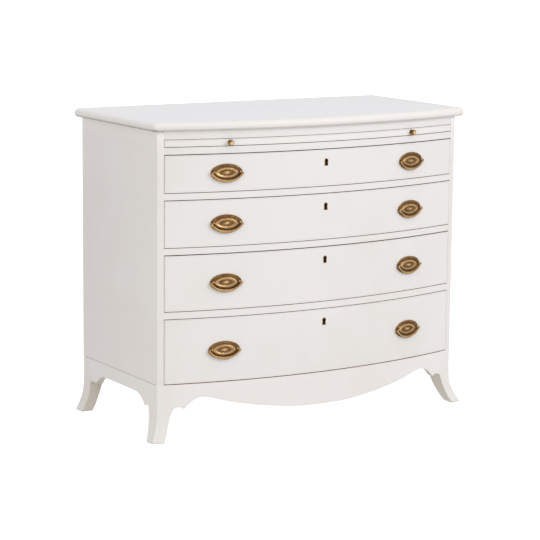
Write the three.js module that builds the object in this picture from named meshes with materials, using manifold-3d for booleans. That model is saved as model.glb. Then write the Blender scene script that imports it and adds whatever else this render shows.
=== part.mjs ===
// Bow front chest of four graduated drawers with a brushing slide, splayed bracket feet
// and brass pulls. Millimetres, +Z up, +X to the right of someone facing the front, the
// front looks along -Y. The origin is on the floor, in the middle of the overall outline.
import * as THREE from 'three';
import { mergeVertices } from 'three/addons/utils/BufferGeometryUtils.js';
import Module from 'manifold-3d';

const wasm = await Module();
wasm.setup();

// ---------------------------------------------------------------- driving dimensions
// In the lines below y = 0 is the vertical plane through the two front corners of the case.
const CASE_HALF = 485; // half the width of the case
const CASE_BACK = 440; // the back of the case, measured from the front corners
const BOW_RISE = 71.6; // how far the middle of the front stands before its corners
const SIDE_T = 18.5; // case sides
const OPEN_HALF = CASE_HALF - SIDE_T; // half the width of the drawer openings
const BACK_T = 9.3; // back panel
const REBATE = 9.9; // how far the back panel runs into each side
const GAP = 0.3; // between pieces that touch
const REVEAL = 0.6; // half of the gap line round a drawer front
const HEAD = [1.5, 1.25, 1.65, 0.95]; // what each drawer's front stays under its opening's top line

const TOP_Z = 861.4; // upper face of the top
const TOP_T = 24.4;
const TOP_OVER = 23.3; // overhang at the front and at both sides
const TOP_CORNER = 8; // radius of the front corners in plan

const SLIDE_LINES = [793.6, 813.4]; // gap lines under and over each moving front
const DRAWER_LINES = [
  [671.3, 773.6],
  [524.5, 652.2],
  [352.1, 505.5],
  [154.5, 332.1],
];
const PLINTH_Z = 153.5; // top of the feet, the aprons and the bottom board
const SIDE_Z0 = 153.9; // lower edge of the case sides
const BOTTOM_T = 17.6;

const BOARD_T = 12; // dustboards behind their front rail
const RAIL_BACK = 45; // the back edge of each front rail

const FRONT_T = 22; // drawer fronts
const FRONT_HALF = OPEN_HALF - 1.1;
const BOX_T = 12; // drawer sides and backs
const BOX_HALF = OPEN_HALF - 1.9;
const BOX_BACK = 414; // the outer face of each drawer's back
const BOX_SLACK = 6; // drawer sides stop this far under the opening's top
const BOTTOM_PLY = 6;
const BOTTOM_UP = 9; // underside of a drawer bottom over the lower edge of its sides
const GROOVE = 6;

// the pulls, from the middle of the front; they were set by hand and differ a little
const PULL_X = { left: [298.9, 298.4, 299.3, 303], right: [299.6, 298.4, 298.6, 298.2] };
const PULL_Z = [722, 586, 426, 241.5];
const POST_X = 36.6; // the pull's posts, from its middle
const POST_Z = 3.2; // and over its middle
const PIVOT_OUT = 7.2; // bail axis in front of the bow
const KNOB_X = { left: 289.6, right: 299.4 };
const KNOB_Z = 802.6;
const KEY_DOWN = 36.3; // keyhole under the opening's top line

const LOCK_W = 60;
const LOCK_H = 46;
const LOCK_D = 11.5;
const LOCK_FACE = 10; // wood left in front of the lock
const BOLT_W = 22;
const BOLT_D = 6;
const BOLT_H = 22;
const BOLT_THROW = 9;

// ---------------------------------------------------------------- the bow
const BOW_R = (CASE_HALF ** 2 + BOW_RISE ** 2) / (2 * BOW_RISE);
const BOW_CY = BOW_R - BOW_RISE;
const bowY = (x, off = 0) => BOW_CY - Math.sqrt((BOW_R + off) ** 2 - x * x);
const bowTurn = (x) => Math.asin(x / BOW_R);

// points on the bow (or on a curve parallel to it) from x0 to x1
function bowLine(x0, x1, n, off = 0) {
  const out = [];
  for (let i = 0; i <= n; i++) {
    const x = x0 + ((x1 - x0) * i) / n;
    out.push([x, bowY(x, off)]);
  }
  return out;
}

// ---------------------------------------------------------------- making solids
function toSolid(geometry) {
  const g = geometry.clone();
  g.deleteAttribute('normal');
  g.deleteAttribute('uv');
  const m = mergeVertices(g, 1e-4);
  return new wasm.Manifold(
    new wasm.Mesh({
      numProp: 3,
      vertProperties: new Float32Array(m.getAttribute('position').array),
      triVerts: new Uint32Array(m.index.array),
    }),
  );
}

function toGeometry(solid) {
  const m = solid.getMesh();
  const g = new THREE.BufferGeometry();
  g.setAttribute('position', new THREE.BufferAttribute(new Float32Array(m.vertProperties), 3));
  g.setIndex(new THREE.BufferAttribute(new Uint32Array(m.triVerts), 1));
  g.computeVertexNormals();
  return g;
}

const shapeOf = (pts) => new THREE.Shape(pts.map(([a, b]) => new THREE.Vector2(a, b)));

// an outline in plan, raised from z0 to z1
function slab(pts, z0, z1) {
  const g = new THREE.ExtrudeGeometry(shapeOf(pts), { depth: z1 - z0, bevelEnabled: false });
  g.translate(0, 0, z0);
  return g;
}

// an outline seen from the front (x, z), running from y0 back to y1
function frontCut(pts, y0, y1) {
  const g = new THREE.ExtrudeGeometry(shapeOf(pts), { depth: y1 - y0, bevelEnabled: false });
  g.rotateX(Math.PI / 2);
  g.translate(0, y1, 0);
  return g;
}

// an outline seen from the side (y, z), running from x0 to x1
function sideCut(pts, x0, x1) {
  const g = new THREE.ExtrudeGeometry(shapeOf(pts), { depth: x1 - x0, bevelEnabled: false });
  g.applyMatrix4(
    new THREE.Matrix4().makeBasis(
      new THREE.Vector3(0, 1, 0),
      new THREE.Vector3(0, 0, 1),
      new THREE.Vector3(1, 0, 0),
    ),
  );
  g.translate(x0, 0, 0);
  return g;
}

function block(x0, x1, y0, y1, z0, z1) {
  const g = new THREE.BoxGeometry(x1 - x0, y1 - y0, z1 - z0);
  g.translate((x0 + x1) / 2, (y0 + y1) / 2, (z0 + z1) / 2);
  return g;
}

// a round bar along +Y or +X
function barY(r, y0, y1, x, z, sides) {
  const g = new THREE.CylinderGeometry(r, r, y1 - y0, sides);
  g.translate(x, (y0 + y1) / 2, z);
  return g;
}
function barX(r, x0, x1, y, z, sides) {
  const g = new THREE.CylinderGeometry(r, r, x1 - x0, sides);
  g.rotateZ(Math.PI / 2);
  g.translate((x0 + x1) / 2, y, z);
  return g;
}

const join = (first, ...rest) => rest.reduce((a, b) => a.add(toSolid(b)), toSolid(first));
const cut = (solid, ...tools) => tools.reduce((a, b) => a.subtract(toSolid(b)), solid);

// linear reading of a table of [key, value] rows, keys falling
function read(table, k) {
  if (k >= table[0][0]) return table[0][1];
  for (let i = 1; i < table.length; i++) {
    const [k1, v1] = table[i];
    const [k0, v0] = table[i - 1];
    if (k >= k1) return v1 + ((v0 - v1) * (k - k1)) / (k0 - k1);
  }
  return table[table.length - 1][1];
}

// ---------------------------------------------------------------- finishes
const paint = () => new THREE.MeshStandardMaterial({ color: 0xe9e5e2, roughness: 0.42, metalness: 0 });
const inside = () => new THREE.MeshStandardMaterial({ color: 0xc9a777, roughness: 0.7, metalness: 0 });
const ply = () => new THREE.MeshStandardMaterial({ color: 0xd4b78c, roughness: 0.75, metalness: 0 });
const brass = () => new THREE.MeshStandardMaterial({ color: 0x9a7646, roughness: 0.34, metalness: 1 });
const steel = () => new THREE.MeshStandardMaterial({ color: 0x8b8a86, roughness: 0.45, metalness: 1 });

function piece(parent, name, geometry, material) {
  const mesh = new THREE.Mesh(geometry, material);
  mesh.name = name;
  parent.add(mesh);
  return mesh;
}

// ---------------------------------------------------------------- the whole object
const chest = new THREE.Group();
const HALF_DEPTH = (CASE_BACK + BOW_RISE + TOP_OVER) / 2;
chest.position.set(0, HALF_DEPTH - CASE_BACK, 0);

const carcass = new THREE.Group();
chest.add(carcass);

// The top: a board whose front follows the bow, with a rounded edge on three sides.
{
  const round = 11.4; // depth of the rounded edge
  const off = TOP_OVER - round;
  const half = CASE_HALF + off;
  const back = CASE_BACK + 40;
  const r = TOP_CORNER;
  const pts = [];
  // where the corner's circle touches the side and the front curve
  const cx = half - r;
  const rr = BOW_R + off - r;
  const cy = BOW_CY - Math.sqrt(rr * rr - cx * cx);
  const a1 = Math.atan2(cy - BOW_CY, cx); // from the bow's centre to the corner's centre
  pts.push([half, back]);
  for (let i = 0; i <= 4; i++) {
    const a = (a1 * i) / 4;
    pts.push([cx + r * Math.cos(a), cy + r * Math.sin(a)]);
  }
  const xe = pts[pts.length - 1][0];
  const n = 24;
  for (let i = 1; i < n; i++) {
    const x = xe - (2 * xe * i) / n;
    pts.push([x, bowY(x, off)]);
  }
  for (let i = 4; i >= 0; i--) {
    const a = (a1 * i) / 4;
    pts.push([-cx - r * Math.cos(a), cy + r * Math.sin(a)]);
  }
  pts.push([-half, back]);
  pts.reverse();
  const g = new THREE.ExtrudeGeometry(shapeOf(pts), {
    depth: TOP_T - 22,
    bevelEnabled: true,
    bevelThickness: 11,
    bevelSize: round,
    bevelSegments: 3,
  });
  g.translate(0, 0, TOP_Z - TOP_T + 11);
  const solid = cut(toSolid(g), block(-700, 700, CASE_BACK, CASE_BACK + 200, TOP_Z - 60, TOP_Z + 60));
  piece(carcass, 'top_slab', toGeometry(solid), paint());
}

// The sides: boards on end whose front edge follows the bow and whose back edge is
// rebated for the back panel.
{
  const z1 = TOP_Z - TOP_T - GAP;
  const inner = OPEN_HALF;
  const rb = inner + REBATE;
  const backFace = CASE_BACK - BACK_T - GAP;
  const outline = [
    ...bowLine(inner, CASE_HALF, 2),
    [CASE_HALF, CASE_BACK],
    [rb, CASE_BACK],
    [rb, backFace],
    [inner, backFace],
  ];
  const g = slab(outline, SIDE_Z0, z1);
  piece(carcass, 'side_panel_right', g, paint());
  const left = piece(carcass, 'side_panel_left', g, paint());
  left.scale.x = -1;
}

// The back panel lies in the rebates and runs down between the back feet as a skirt.
const SKIRT_Z = 112;
const FOOT_IN = 443.5; // inner face of the feet at their top
{
  const w = OPEN_HALF + REBATE - GAP;
  const s = FOOT_IN - GAP;
  const outline = [
    [-s, SKIRT_Z],
    [s, SKIRT_Z],
    [s, SIDE_Z0],
    [w, SIDE_Z0],
    [w, TOP_Z - TOP_T - GAP],
    [-w, TOP_Z - TOP_T - GAP],
    [-w, SIDE_Z0],
    [-s, SIDE_Z0],
  ];
  piece(carcass, 'back_panel', frontCut(outline, CASE_BACK - BACK_T, CASE_BACK), paint());
}

const BOARD_BACK = CASE_BACK - BACK_T - 2 * GAP;
const boardHalf = OPEN_HALF - GAP;

// The front rail under the top.
{
  const outline = [...bowLine(-boardHalf, boardHalf, 24), [boardHalf, RAIL_BACK - 10], [-boardHalf, RAIL_BACK - 10]];
  piece(carcass, 'rail_top', slab(outline, SLIDE_LINES[1] + REVEAL, TOP_Z - TOP_T - GAP), paint());
}

// A dustboard: full thickness along its bowed front rail, thinner behind it, with a
// mortise in the rail's underside for the bolt of the lock below.
const lockFaceY = bowY(0) + LOCK_FACE;
const boltY = lockFaceY + LOCK_D / 2;
function dustboard(name, z0, z1) {
  const outline = [...bowLine(-boardHalf, boardHalf, 24), [boardHalf, BOARD_BACK], [-boardHalf, BOARD_BACK]];
  const solid = cut(
    toSolid(slab(outline, z0, z1)),
    block(-600, 600, RAIL_BACK, 700, z0 - 20, z1 - BOARD_T),
    block(-BOLT_W / 2 - 1.5, BOLT_W / 2 + 1.5, boltY - BOLT_D / 2 - 1.2, boltY + BOLT_D / 2 + 1.2, z0 - 5, z0 + BOLT_THROW + 1.5),
  );
  piece(carcass, name, toGeometry(solid), paint());
}
dustboard('dustboard_slide', DRAWER_LINES[0][1] + REVEAL, SLIDE_LINES[0] - REVEAL);
dustboard('dustboard_1', DRAWER_LINES[1][1] + REVEAL, DRAWER_LINES[0][0] - REVEAL);
dustboard('dustboard_2', DRAWER_LINES[2][1] + REVEAL, DRAWER_LINES[1][0] - REVEAL);
dustboard('dustboard_3', DRAWER_LINES[3][1] + REVEAL, DRAWER_LINES[2][0] - REVEAL);

// The bottom board lies behind the front apron.
const bottomOutline = (grow) => [
  ...bowLine(-boardHalf - grow, boardHalf + grow, 24, -FRONT_T - GAP + grow),
  [boardHalf + grow, BOARD_BACK + grow],
  [-boardHalf - grow, BOARD_BACK + grow],
];
piece(carcass, 'bottom_board', slab(bottomOutline(0), PLINTH_Z - BOTTOM_T, PLINTH_Z), inside());
const bottomRoom = () => slab(bottomOutline(GAP), PLINTH_Z - BOTTOM_T - GAP, PLINTH_Z + 20);

// The front apron: a bowed board with a serpentine lower edge between two small brackets.
const APRON_EDGE = [
  [0, 63.4], [24, 63.4], [48, 63.6], [72.5, 64.5], [98, 66.7], [123, 69.3], [147, 72.2], [172, 75.7],
  [196, 79.4], [220, 83.5], [243, 87.6], [266, 92.3], [289, 97.8], [312, 104.3], [328, 108.8], [340, 111.9],
  [350, 113.8], [358, 114.6], [366, 114.5], [374, 112.9], [382, 109.8], [389, 106], [396, 100.6], [403, 93.8],
  [408, 88.4], [411.5, 84.8], [414.5, 86.9], [420, 89.2], [427, 90.2], [433, 89.3], [438, 86.8], [443.2, 82.6],
];
{
  const end = APRON_EDGE[APRON_EDGE.length - 1][0];
  const outline = [
    ...APRON_EDGE.slice(1).map(([x, z]) => [-x, z]).reverse(),
    ...APRON_EDGE,
    [end, PLINTH_Z],
    [-end, PLINTH_Z],
  ];
  const band = [...bowLine(-end, end, 26), ...bowLine(end, -end, 26, -FRONT_T)];
  const solid = toSolid(frontCut(outline, -120, 60)).intersect(toSolid(slab(band, 40, 200)));
  piece(carcass, 'front_apron', toGeometry(solid), paint());
}

// The side aprons: straight boards with an arched lower edge.
const FOOT_BACK = 46; // back face of the front feet at their top
const REAR_FOOT = 396; // front face of the back feet
const SIDE_APRON_T = 24;
const SIDE_EDGE = [
  [46.3, 81.2], [50, 86.2], [55, 89], [61, 89.6], [67, 88.2], [71, 85.6], [75, 90.6], [80, 95.5], [86, 100.5],
  [93, 105.2], [101, 109.4], [110, 112.5], [120, 114.1], [130, 114.5], [303, 114.5], [313, 114.1], [323, 112.5],
  [332, 109.4], [340, 105.2], [347, 100.5], [353, 95.5], [358, 90.6], [362, 85.6], [366, 88], [373, 89.4],
  [381, 89.2], [388, 87], [393, 83.4], [395.7, 80],
];
{
  const outline = [...SIDE_EDGE, [395.7, PLINTH_Z], [46.3, PLINTH_Z]];
  const solid = cut(toSolid(sideCut(outline, CASE_HALF - SIDE_APRON_T, CASE_HALF)), bottomRoom());
  const g = toGeometry(solid);
  piece(carcass, 'side_apron_right', g, paint());
  const left = piece(carcass, 'side_apron_left', g, paint());
  left.scale.x = -1;
}

// The feet: tapered legs that splay at the bottom, the front ones to the front as well.
const SPLAY = [
  [110, 0], [80, 0.9], [66, 1.7], [60, 2.5], [54, 3.8], [48, 5.2], [42, 6.9], [36.5, 8.8], [31, 11], [25, 13.6],
  [19, 16.5], [13, 19.6], [7, 23], [0, 27],
];
const FOOT_INNER = [
  [88, 443.5], [82, 443.6], [77.6, 445.4], [69.6, 448.8], [61.5, 451.4], [53.8, 454], [46.2, 456.8], [38.6, 459.5],
  [31, 462.3], [23.7, 465.2], [16.3, 468.6], [9, 472.3], [3.5, 475.4], [0, 477.5],
];
const FOOT_REAR = [
  [88, 46], [80, 45.9], [70, 44.6], [62, 42.8], [55, 40.4], [47, 37.4], [40, 34.4], [33, 31], [26, 27.2],
  [19, 23], [12, 18.6], [5, 13.8], [0, 10.2],
];
const FOOT_LEVELS = [0, 6, 12, 19, 26, 33, 40, 47, 54, 61, 69, 77, 84, 110, PLINTH_Z];
function foot(back) {
  const n = FOOT_LEVELS.length - 1;
  const g = new THREE.BoxGeometry(1, 1, 1, 2, 1, n);
  const p = g.getAttribute('position');
  for (let i = 0; i < p.count; i++) {
    const s = p.getX(i) + 0.5;
    const t = p.getY(i) + 0.5;
    const z = FOOT_LEVELS[Math.round((p.getZ(i) + 0.5) * n)];
    const splay = read(SPLAY, z);
    const xo = CASE_HALF + splay;
    const x = read(FOOT_INNER, z) * (1 - s) + xo * s;
    const y0 = back ? REAR_FOOT + 1.2 * (1 - z / PLINTH_Z) : bowY(CASE_HALF - (xo - x)) - 0.82 * splay;
    const y1 = back ? CASE_BACK - 3 * (1 - z / PLINTH_Z) : read(FOOT_REAR, z);
    p.setXYZ(i, x, y0 * (1 - t) + y1 * t, z);
  }
  return toGeometry(cut(toSolid(g), bottomRoom()));
}
{
  const front = foot(false);
  const rear = foot(true);
  piece(carcass, 'foot_front_right', front, paint());
  piece(carcass, 'foot_front_left', front, paint()).scale.x = -1;
  piece(carcass, 'foot_back_right', rear, paint());
  piece(carcass, 'foot_back_left', rear, paint()).scale.x = -1;
}

// ---------------------------------------------------------------- the brushing slide
{
  const slide = new THREE.Group();
  chest.add(slide);
  const outline = [...bowLine(-FRONT_HALF, FRONT_HALF, 24), [FRONT_HALF, 424], [-FRONT_HALF, 424]];
  const z0 = SLIDE_LINES[0] + REVEAL;
  const z1 = SLIDE_LINES[1] - REVEAL;
  let solid = toSolid(slab(outline, z0, z1));
  const knobAt = [-KNOB_X.left, KNOB_X.right];
  for (const x of knobAt) {
    const hole = new THREE.CylinderGeometry(2.6, 2.6, 26, 10);
    hole.rotateZ(bowTurn(x));
    hole.translate(x, bowY(x), KNOB_Z);
    solid = cut(solid, hole);
  }
  piece(slide, 'brushing_slide', toGeometry(solid), paint());

  // a knob: dowel, base flange, neck and ball, turned about its own axis
  const profile = [
    [0, -11], [2.2, -11], [2.2, 0.35], [7.4, 0.35], [7.4, 1.3], [5.4, 2.4], [3.1, 3.4], [3.6, 5.2],
    [6.4, 7.4], [7.5, 10.2], [6.9, 13.6], [4.4, 16.2], [0, 17.1],
  ].map(([r, h]) => new THREE.Vector2(r, h));
  for (const x of knobAt) {
    const holder = new THREE.Group();
    holder.position.set(x, bowY(x), KNOB_Z);
    holder.rotation.z = bowTurn(x);
    slide.add(holder);
    const g = new THREE.LatheGeometry(profile, 10);
    g.rotateX(Math.PI); // the turned axis points out of the front, along -Y
    piece(holder, x < 0 ? 'slide_knob_left' : 'slide_knob_right', g, brass());
  }
}

// ---------------------------------------------------------------- the drawers
// Outline of a keyhole: a round head over a flared foot, h the whole height.
function keyOutline(head, neck, foot, h, n = 10) {
  const pts = [];
  const zc = h / 2 - head;
  const a0 = Math.asin(neck / head);
  for (let i = 0; i <= n; i++) {
    const a = -Math.PI / 2 + a0 + ((2 * Math.PI - 2 * a0) * i) / n;
    pts.push([head * Math.cos(a), zc + head * Math.sin(a)]);
  }
  pts.push([-foot, -h / 2], [foot, -h / 2]);
  return pts;
}
const keyShift = (pts, z) => pts.map(([x, zz]) => [x, zz + z]);

// The face of a pull's plate, from its back's middle round the rim to the button. Each row is
// half the length and half the height of a ring, how pointed its ends are (0 an ellipse, 1 an
// eye), how far its middle stands over the plate's middle, and its distance from the bow.
const PLATE_ROWS = [
  [0, 0, 0, 0, 0.35], [26, 14.1, 0, 0, 0.35], [45.6, 24.7, 0, 0, 0.35], [45.6, 24.7, 0, 0, 1.2],
  [44.8, 24.1, 0, 0, 1.75], [43.8, 23.3, 0, 0, 1.55], [42.6, 22.3, 0, 0, 1.1], [39.8, 20, 0.08, 0.25, 1.05],
  [36.9, 17.5, 0.3, 0.6, 1.15], [35.6, 16.2, 0.42, 0.75, 1.7], [33.6, 14.35, 0.55, 0.8, 3.15], [31.6, 12.7, 0.64, 0.8, 4.0],
  [30.2, 11.7, 0.66, 0.8, 4.25], [27, 9.9, 0.58, 0.8, 3.5], [22, 8, 0.35, 0.8, 2.5], [16, 6.6, 0.05, 0.8, 2.3],
  [11.9, 5.3, 0, 0.8, 3.45], [9.4, 4.2, 0, 0.8, 2.95], [5.6, 2.6, 0, 0.8, 3.65], [0, 0, 0, 0.8, 4],
];
function plateBody(rows, n) {
  const g = new THREE.LatheGeometry(rows.map(([a, , , , h]) => new THREE.Vector2(a, h)), n);
  const p = g.getAttribute('position');
  for (let i = 0; i < p.count; i++) {
    const [a, b, pointed, mid, h] = rows[i % rows.length];
    const t = (2 * Math.PI * (Math.floor(i / rows.length) % n)) / n;
    const x = a * Math.cos(t);
    const s = Math.sin(t);
    let z = b * Math.abs(s);
    if (pointed > 0) {
      const r = (a * a + b * b) / (2 * b);
      const eye = Math.sqrt(Math.max(r * r - x * x, 0)) - (r - b);
      z = z * (1 - pointed) + eye * pointed;
    }
    p.setXYZ(i, x, -h + (x * x) / (2 * BOW_R), mid + (s < 0 ? -z : z));
  }
  return g;
}

// A pull's plate with its two posts, their bolts through the drawer front and the nuts.
// Local frame: x along the front, y into the drawer, z up, the origin on the bow.
function plateGeometry() {
  const parts = [];
  for (const s of [-1, 1]) {
    const ball = new THREE.SphereGeometry(2.9, 8, 6);
    ball.translate(s * POST_X, -PIVOT_OUT, POST_Z);
    parts.push(
      barY(2, -PIVOT_OUT, 28.4, s * POST_X, POST_Z, 8),
      barY(4.7, -2, -0.6, s * POST_X, POST_Z, 10),
      barY(4.5, 23.2, 26.1, s * POST_X, POST_Z, 6),
      ball,
    );
  }
  let solid = join(plateBody(PLATE_ROWS, 26), ...parts);
  for (const s of [-1, 1]) {
    solid = cut(solid, barX(1.5, s * POST_X - 4, s * POST_X + 4, -PIVOT_OUT, POST_Z, 8));
  }
  return toGeometry(solid);
}

// The bail: a crescent that hangs from two pins turned in towards the posts.
const BAIL_OUT = [
  [42.2, 4.6], [43.4, 3.5], [45.9, 1.2], [47.3, -0.9], [46.5, -2.9], [42.2, -7.4], [38.6, -10.7], [34, -14.5],
  [29, -17.7], [24, -20.3], [18.9, -22.3], [13, -24], [6.5, -25.1], [0, -25.5],
];
const BAIL_IN = [
  [39.9, 4.6], [39.9, 2.4], [39.6, 0.6], [38.7, -1.6], [35.2, -6], [32.4, -8.4], [28.8, -10.9], [24.9, -12.9],
  [20.6, -14.5], [16.2, -15.6], [11, -16.5], [5.4, -17], [0, -17.2],
];
function bailGeometry() {
  const mirror = (pts) => pts.slice(0, -1).map(([x, z]) => [-x, z]).reverse();
  const ring = [...BAIL_OUT, ...mirror(BAIL_OUT), ...[...BAIL_IN, ...mirror(BAIL_IN)].reverse()];
  const g = new THREE.ExtrudeGeometry(shapeOf(ring), {
    depth: 1.7,
    bevelEnabled: true,
    bevelThickness: 1.1,
    bevelSize: 0.9,
    bevelOffset: -0.9,
    bevelSegments: 1,
  });
  g.rotateX(Math.PI / 2);
  g.translate(0, -PIVOT_OUT + 0.85, 0);
  const solid = join(
    g,
    barX(1.2, POST_X - 2.2, 41.6, -PIVOT_OUT, POST_Z, 8),
    barX(1.2, -41.6, -POST_X + 2.2, -PIVOT_OUT, POST_Z, 8),
  );
  return toGeometry(solid);
}

const plateGeo = plateGeometry();
const bailGeo = bailGeometry();

// The lock's case, with a slot for its bolt open at the top and a keyhole in its face.
// Local frame: the origin on the drawer front's top edge, over the middle of its width.
function lockGeometry(keyZ) {
  const solid = cut(
    toSolid(block(-LOCK_W / 2, LOCK_W / 2, lockFaceY, lockFaceY + LOCK_D, -LOCK_H, -0.2)),
    block(-BOLT_W / 2 - GAP, BOLT_W / 2 + GAP, boltY - BOLT_D / 2 - GAP, boltY + BOLT_D / 2 + GAP, -BOLT_H - 0.8, 5),
    frontCut(keyShift(keyOutline(2.7, 1.5, 2.1, 13, 8), keyZ), lockFaceY - 3, lockFaceY + 8),
  );
  return toGeometry(solid);
}

DRAWER_LINES.forEach(([low, high], i) => {
  const n = i + 1;
  const drawer = new THREE.Group();
  chest.add(drawer);
  const z0 = low + REVEAL;
  const z1 = high - HEAD[i];
  const keyZ = high - KEY_DOWN;

  // the front: a bowed board bored for the pulls' bolts, the keyhole and the lock
  const band = [...bowLine(-FRONT_HALF, FRONT_HALF, 20), ...bowLine(FRONT_HALF, -FRONT_HALF, 20, -FRONT_T)];
  let front = cut(
    toSolid(slab(band, z0, z1)),
    block(-LOCK_W / 2 - GAP, LOCK_W / 2 + GAP, lockFaceY - GAP, 0, z1 - LOCK_H - GAP, z1 + 10),
    frontCut(keyShift(keyOutline(6.6, 5.85, 6.2, 21.4), keyZ), bowY(0) - 5, bowY(0) + 4.3),
    frontCut(keyShift(keyOutline(3.2, 2, 2.6, 14.2, 8), keyZ), bowY(0) - 5, lockFaceY + 5),
  );
  const pullAt = { left: -PULL_X.left[i], right: PULL_X.right[i] };
  for (const x of [pullAt.left, pullAt.right]) {
    for (const t of [-1, 1]) {
      const hole = barY(2.4, -10, 40, t * POST_X, POST_Z, 8);
      hole.rotateZ(bowTurn(x));
      hole.translate(x, bowY(x), PULL_Z[i]);
      front = cut(front, hole);
    }
  }
  piece(drawer, `drawer_${n}_front`, toGeometry(front), paint());

  // the box: two sides and a back in one U, grooved for the bottom, which runs out
  // under the back
  const b0 = low - REVEAL + GAP;
  const b1 = high - BOX_SLACK;
  const in0 = BOX_HALF - BOX_T;
  const arm = (s) => bowLine(s * BOX_HALF, s * in0, 1, -FRONT_T - GAP);
  const [ro, ri] = arm(1);
  const [lo, li] = arm(-1);
  const u = [ri, ro, [BOX_HALF, BOX_BACK], [-BOX_HALF, BOX_BACK], lo, li, [-in0, BOX_BACK - BOX_T], [in0, BOX_BACK - BOX_T]];
  const pz0 = b0 + BOTTOM_UP;
  const pz1 = pz0 + BOTTOM_PLY;
  const box = cut(
    toSolid(slab(u, b0, b1)),
    block(-in0 - GROOVE, in0 + GROOVE, -60, 500, pz0 - GAP, pz1 + GAP),
    block(-in0, in0, 300, 500, b0 - 5, pz1 + GAP),
  );
  piece(drawer, `drawer_${n}_box`, toGeometry(box), inside());

  // the bottom: a thin board whose front edge follows the inside of the front
  const bx = in0 + GROOVE - GAP;
  const bottom = [...bowLine(-bx, bx, 16, -FRONT_T - GAP), [bx, BOX_BACK - 1], [-bx, BOX_BACK - 1]];
  piece(drawer, `drawer_${n}_bottom`, slab(bottom, pz0, pz1), ply());

  // lock, bolt and the brass lining of the keyhole
  const lock = piece(drawer, `drawer_${n}_lock`, lockGeometry(keyZ - z1), steel());
  lock.position.z = z1;
  piece(
    drawer,
    `drawer_${n}_bolt`,
    block(-BOLT_W / 2, BOLT_W / 2, boltY - BOLT_D / 2, boltY + BOLT_D / 2, z1 - BOLT_H - 0.4, z1 - 0.4),
    brass(),
  );
  const ring = shapeOf(keyOutline(6.3, 5.5, 5.9, 20.8));
  ring.holes.push(new THREE.Path(keyOutline(4.5, 3.6, 4.1, 17.2).map(([x, z]) => new THREE.Vector2(x, z))));
  const esc = new THREE.ExtrudeGeometry(ring, { depth: 4.4, bevelEnabled: false });
  esc.rotateX(Math.PI / 2);
  const e = piece(drawer, `drawer_${n}_escutcheon`, esc, brass());
  e.position.set(0, bowY(0) + 3.9, keyZ);

  // two pulls, square to the bow
  for (const [hand, x] of Object.entries(pullAt)) {
    const pull = new THREE.Group();
    pull.position.set(x, bowY(x), PULL_Z[i]);
    pull.rotation.z = bowTurn(x);
    drawer.add(pull);
    piece(pull, `drawer_${n}_plate_${hand}`, plateGeo, brass());
    piece(pull, `drawer_${n}_bail_${hand}`, bailGeo, brass());
  }
});

export default chest;
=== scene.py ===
import math

import bmesh
import bpy
import numpy as np
from mathutils import Matrix, Vector


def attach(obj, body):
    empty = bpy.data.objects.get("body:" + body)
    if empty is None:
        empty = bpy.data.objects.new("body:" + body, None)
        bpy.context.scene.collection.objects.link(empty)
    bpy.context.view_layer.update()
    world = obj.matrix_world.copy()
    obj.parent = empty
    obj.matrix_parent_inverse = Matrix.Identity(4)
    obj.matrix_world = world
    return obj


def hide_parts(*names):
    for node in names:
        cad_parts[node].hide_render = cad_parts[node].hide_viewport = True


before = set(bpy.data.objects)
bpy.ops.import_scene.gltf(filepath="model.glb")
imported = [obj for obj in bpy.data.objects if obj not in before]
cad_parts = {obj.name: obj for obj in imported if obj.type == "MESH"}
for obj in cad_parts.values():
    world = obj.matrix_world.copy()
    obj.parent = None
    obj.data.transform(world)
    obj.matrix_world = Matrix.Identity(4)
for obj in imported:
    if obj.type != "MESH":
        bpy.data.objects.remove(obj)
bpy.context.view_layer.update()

# ------------------------------------------------------------------ driving dimensions
# Millimetres. y = 0 is the vertical plane through the two front corners of the case.
MM = 0.001
SHIFT = -172.55  # from that plane's y to the frame's y

CASE_HALF = 485.0
CASE_BACK = 440.0
BOW_RISE = 71.6
SIDE_T = 18.5
OPEN_HALF = CASE_HALF - SIDE_T
BACK_T = 9.3
REBATE = 9.9
REVEAL = 0.6
HEAD = [1.5, 1.25, 1.65, 0.95]
TOP_Z = 861.4
TOP_T = 24.4
TOP_OVER = 23.3
TOP_CORNER = 8.0
NOSE = 11.4
SLIDE = (793.6, 813.4)
DRAWERS = [(671.3, 773.6), (524.5, 652.2), (352.1, 505.5), (154.5, 332.1)]
PLINTH_Z = 153.5
BOTTOM_T = 17.6
BOARD_T = 12.0
RAIL_BACK = 45.0
FRONT_T = 22.0
FRONT_HALF = OPEN_HALF - 1.1
BOX_T = 12.0
BOX_HALF = OPEN_HALF - 1.9
BOX_BACK = 414.0
BOX_SLACK = 6.0
BOTTOM_PLY = 6.0
BOTTOM_UP = 9.0
GROOVE = 6.0
PULL_X = {"left": [298.9, 298.4, 299.3, 303.0], "right": [299.6, 298.4, 298.6, 298.2]}
PULL_Z = [722.0, 586.0, 426.0, 241.5]
POST_X = 36.6
POST_Z = 3.2
PIVOT = 7.2
KNOB_X = {"left": 289.6, "right": 299.4}
KNOB_Z = 802.6
KEY_DOWN = 36.3
LOCK_W, LOCK_H, LOCK_D, LOCK_FACE = 60.0, 46.0, 11.5, 10.0
BOLT_W, BOLT_D, BOLT_H, BOLT_THROW = 22.0, 6.0, 22.0, 9.0

BOW_R = (CASE_HALF**2 + BOW_RISE**2) / (2 * BOW_RISE)
BOW_CY = BOW_R - BOW_RISE


def bow(x, off=0.0):
    return BOW_CY - np.sqrt((BOW_R + off) ** 2 - np.asarray(x, float) ** 2)


def turn(x):
    return math.asin(x / BOW_R)


# ------------------------------------------------------------------ mesh helpers
COLL = bpy.context.scene.collection


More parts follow.
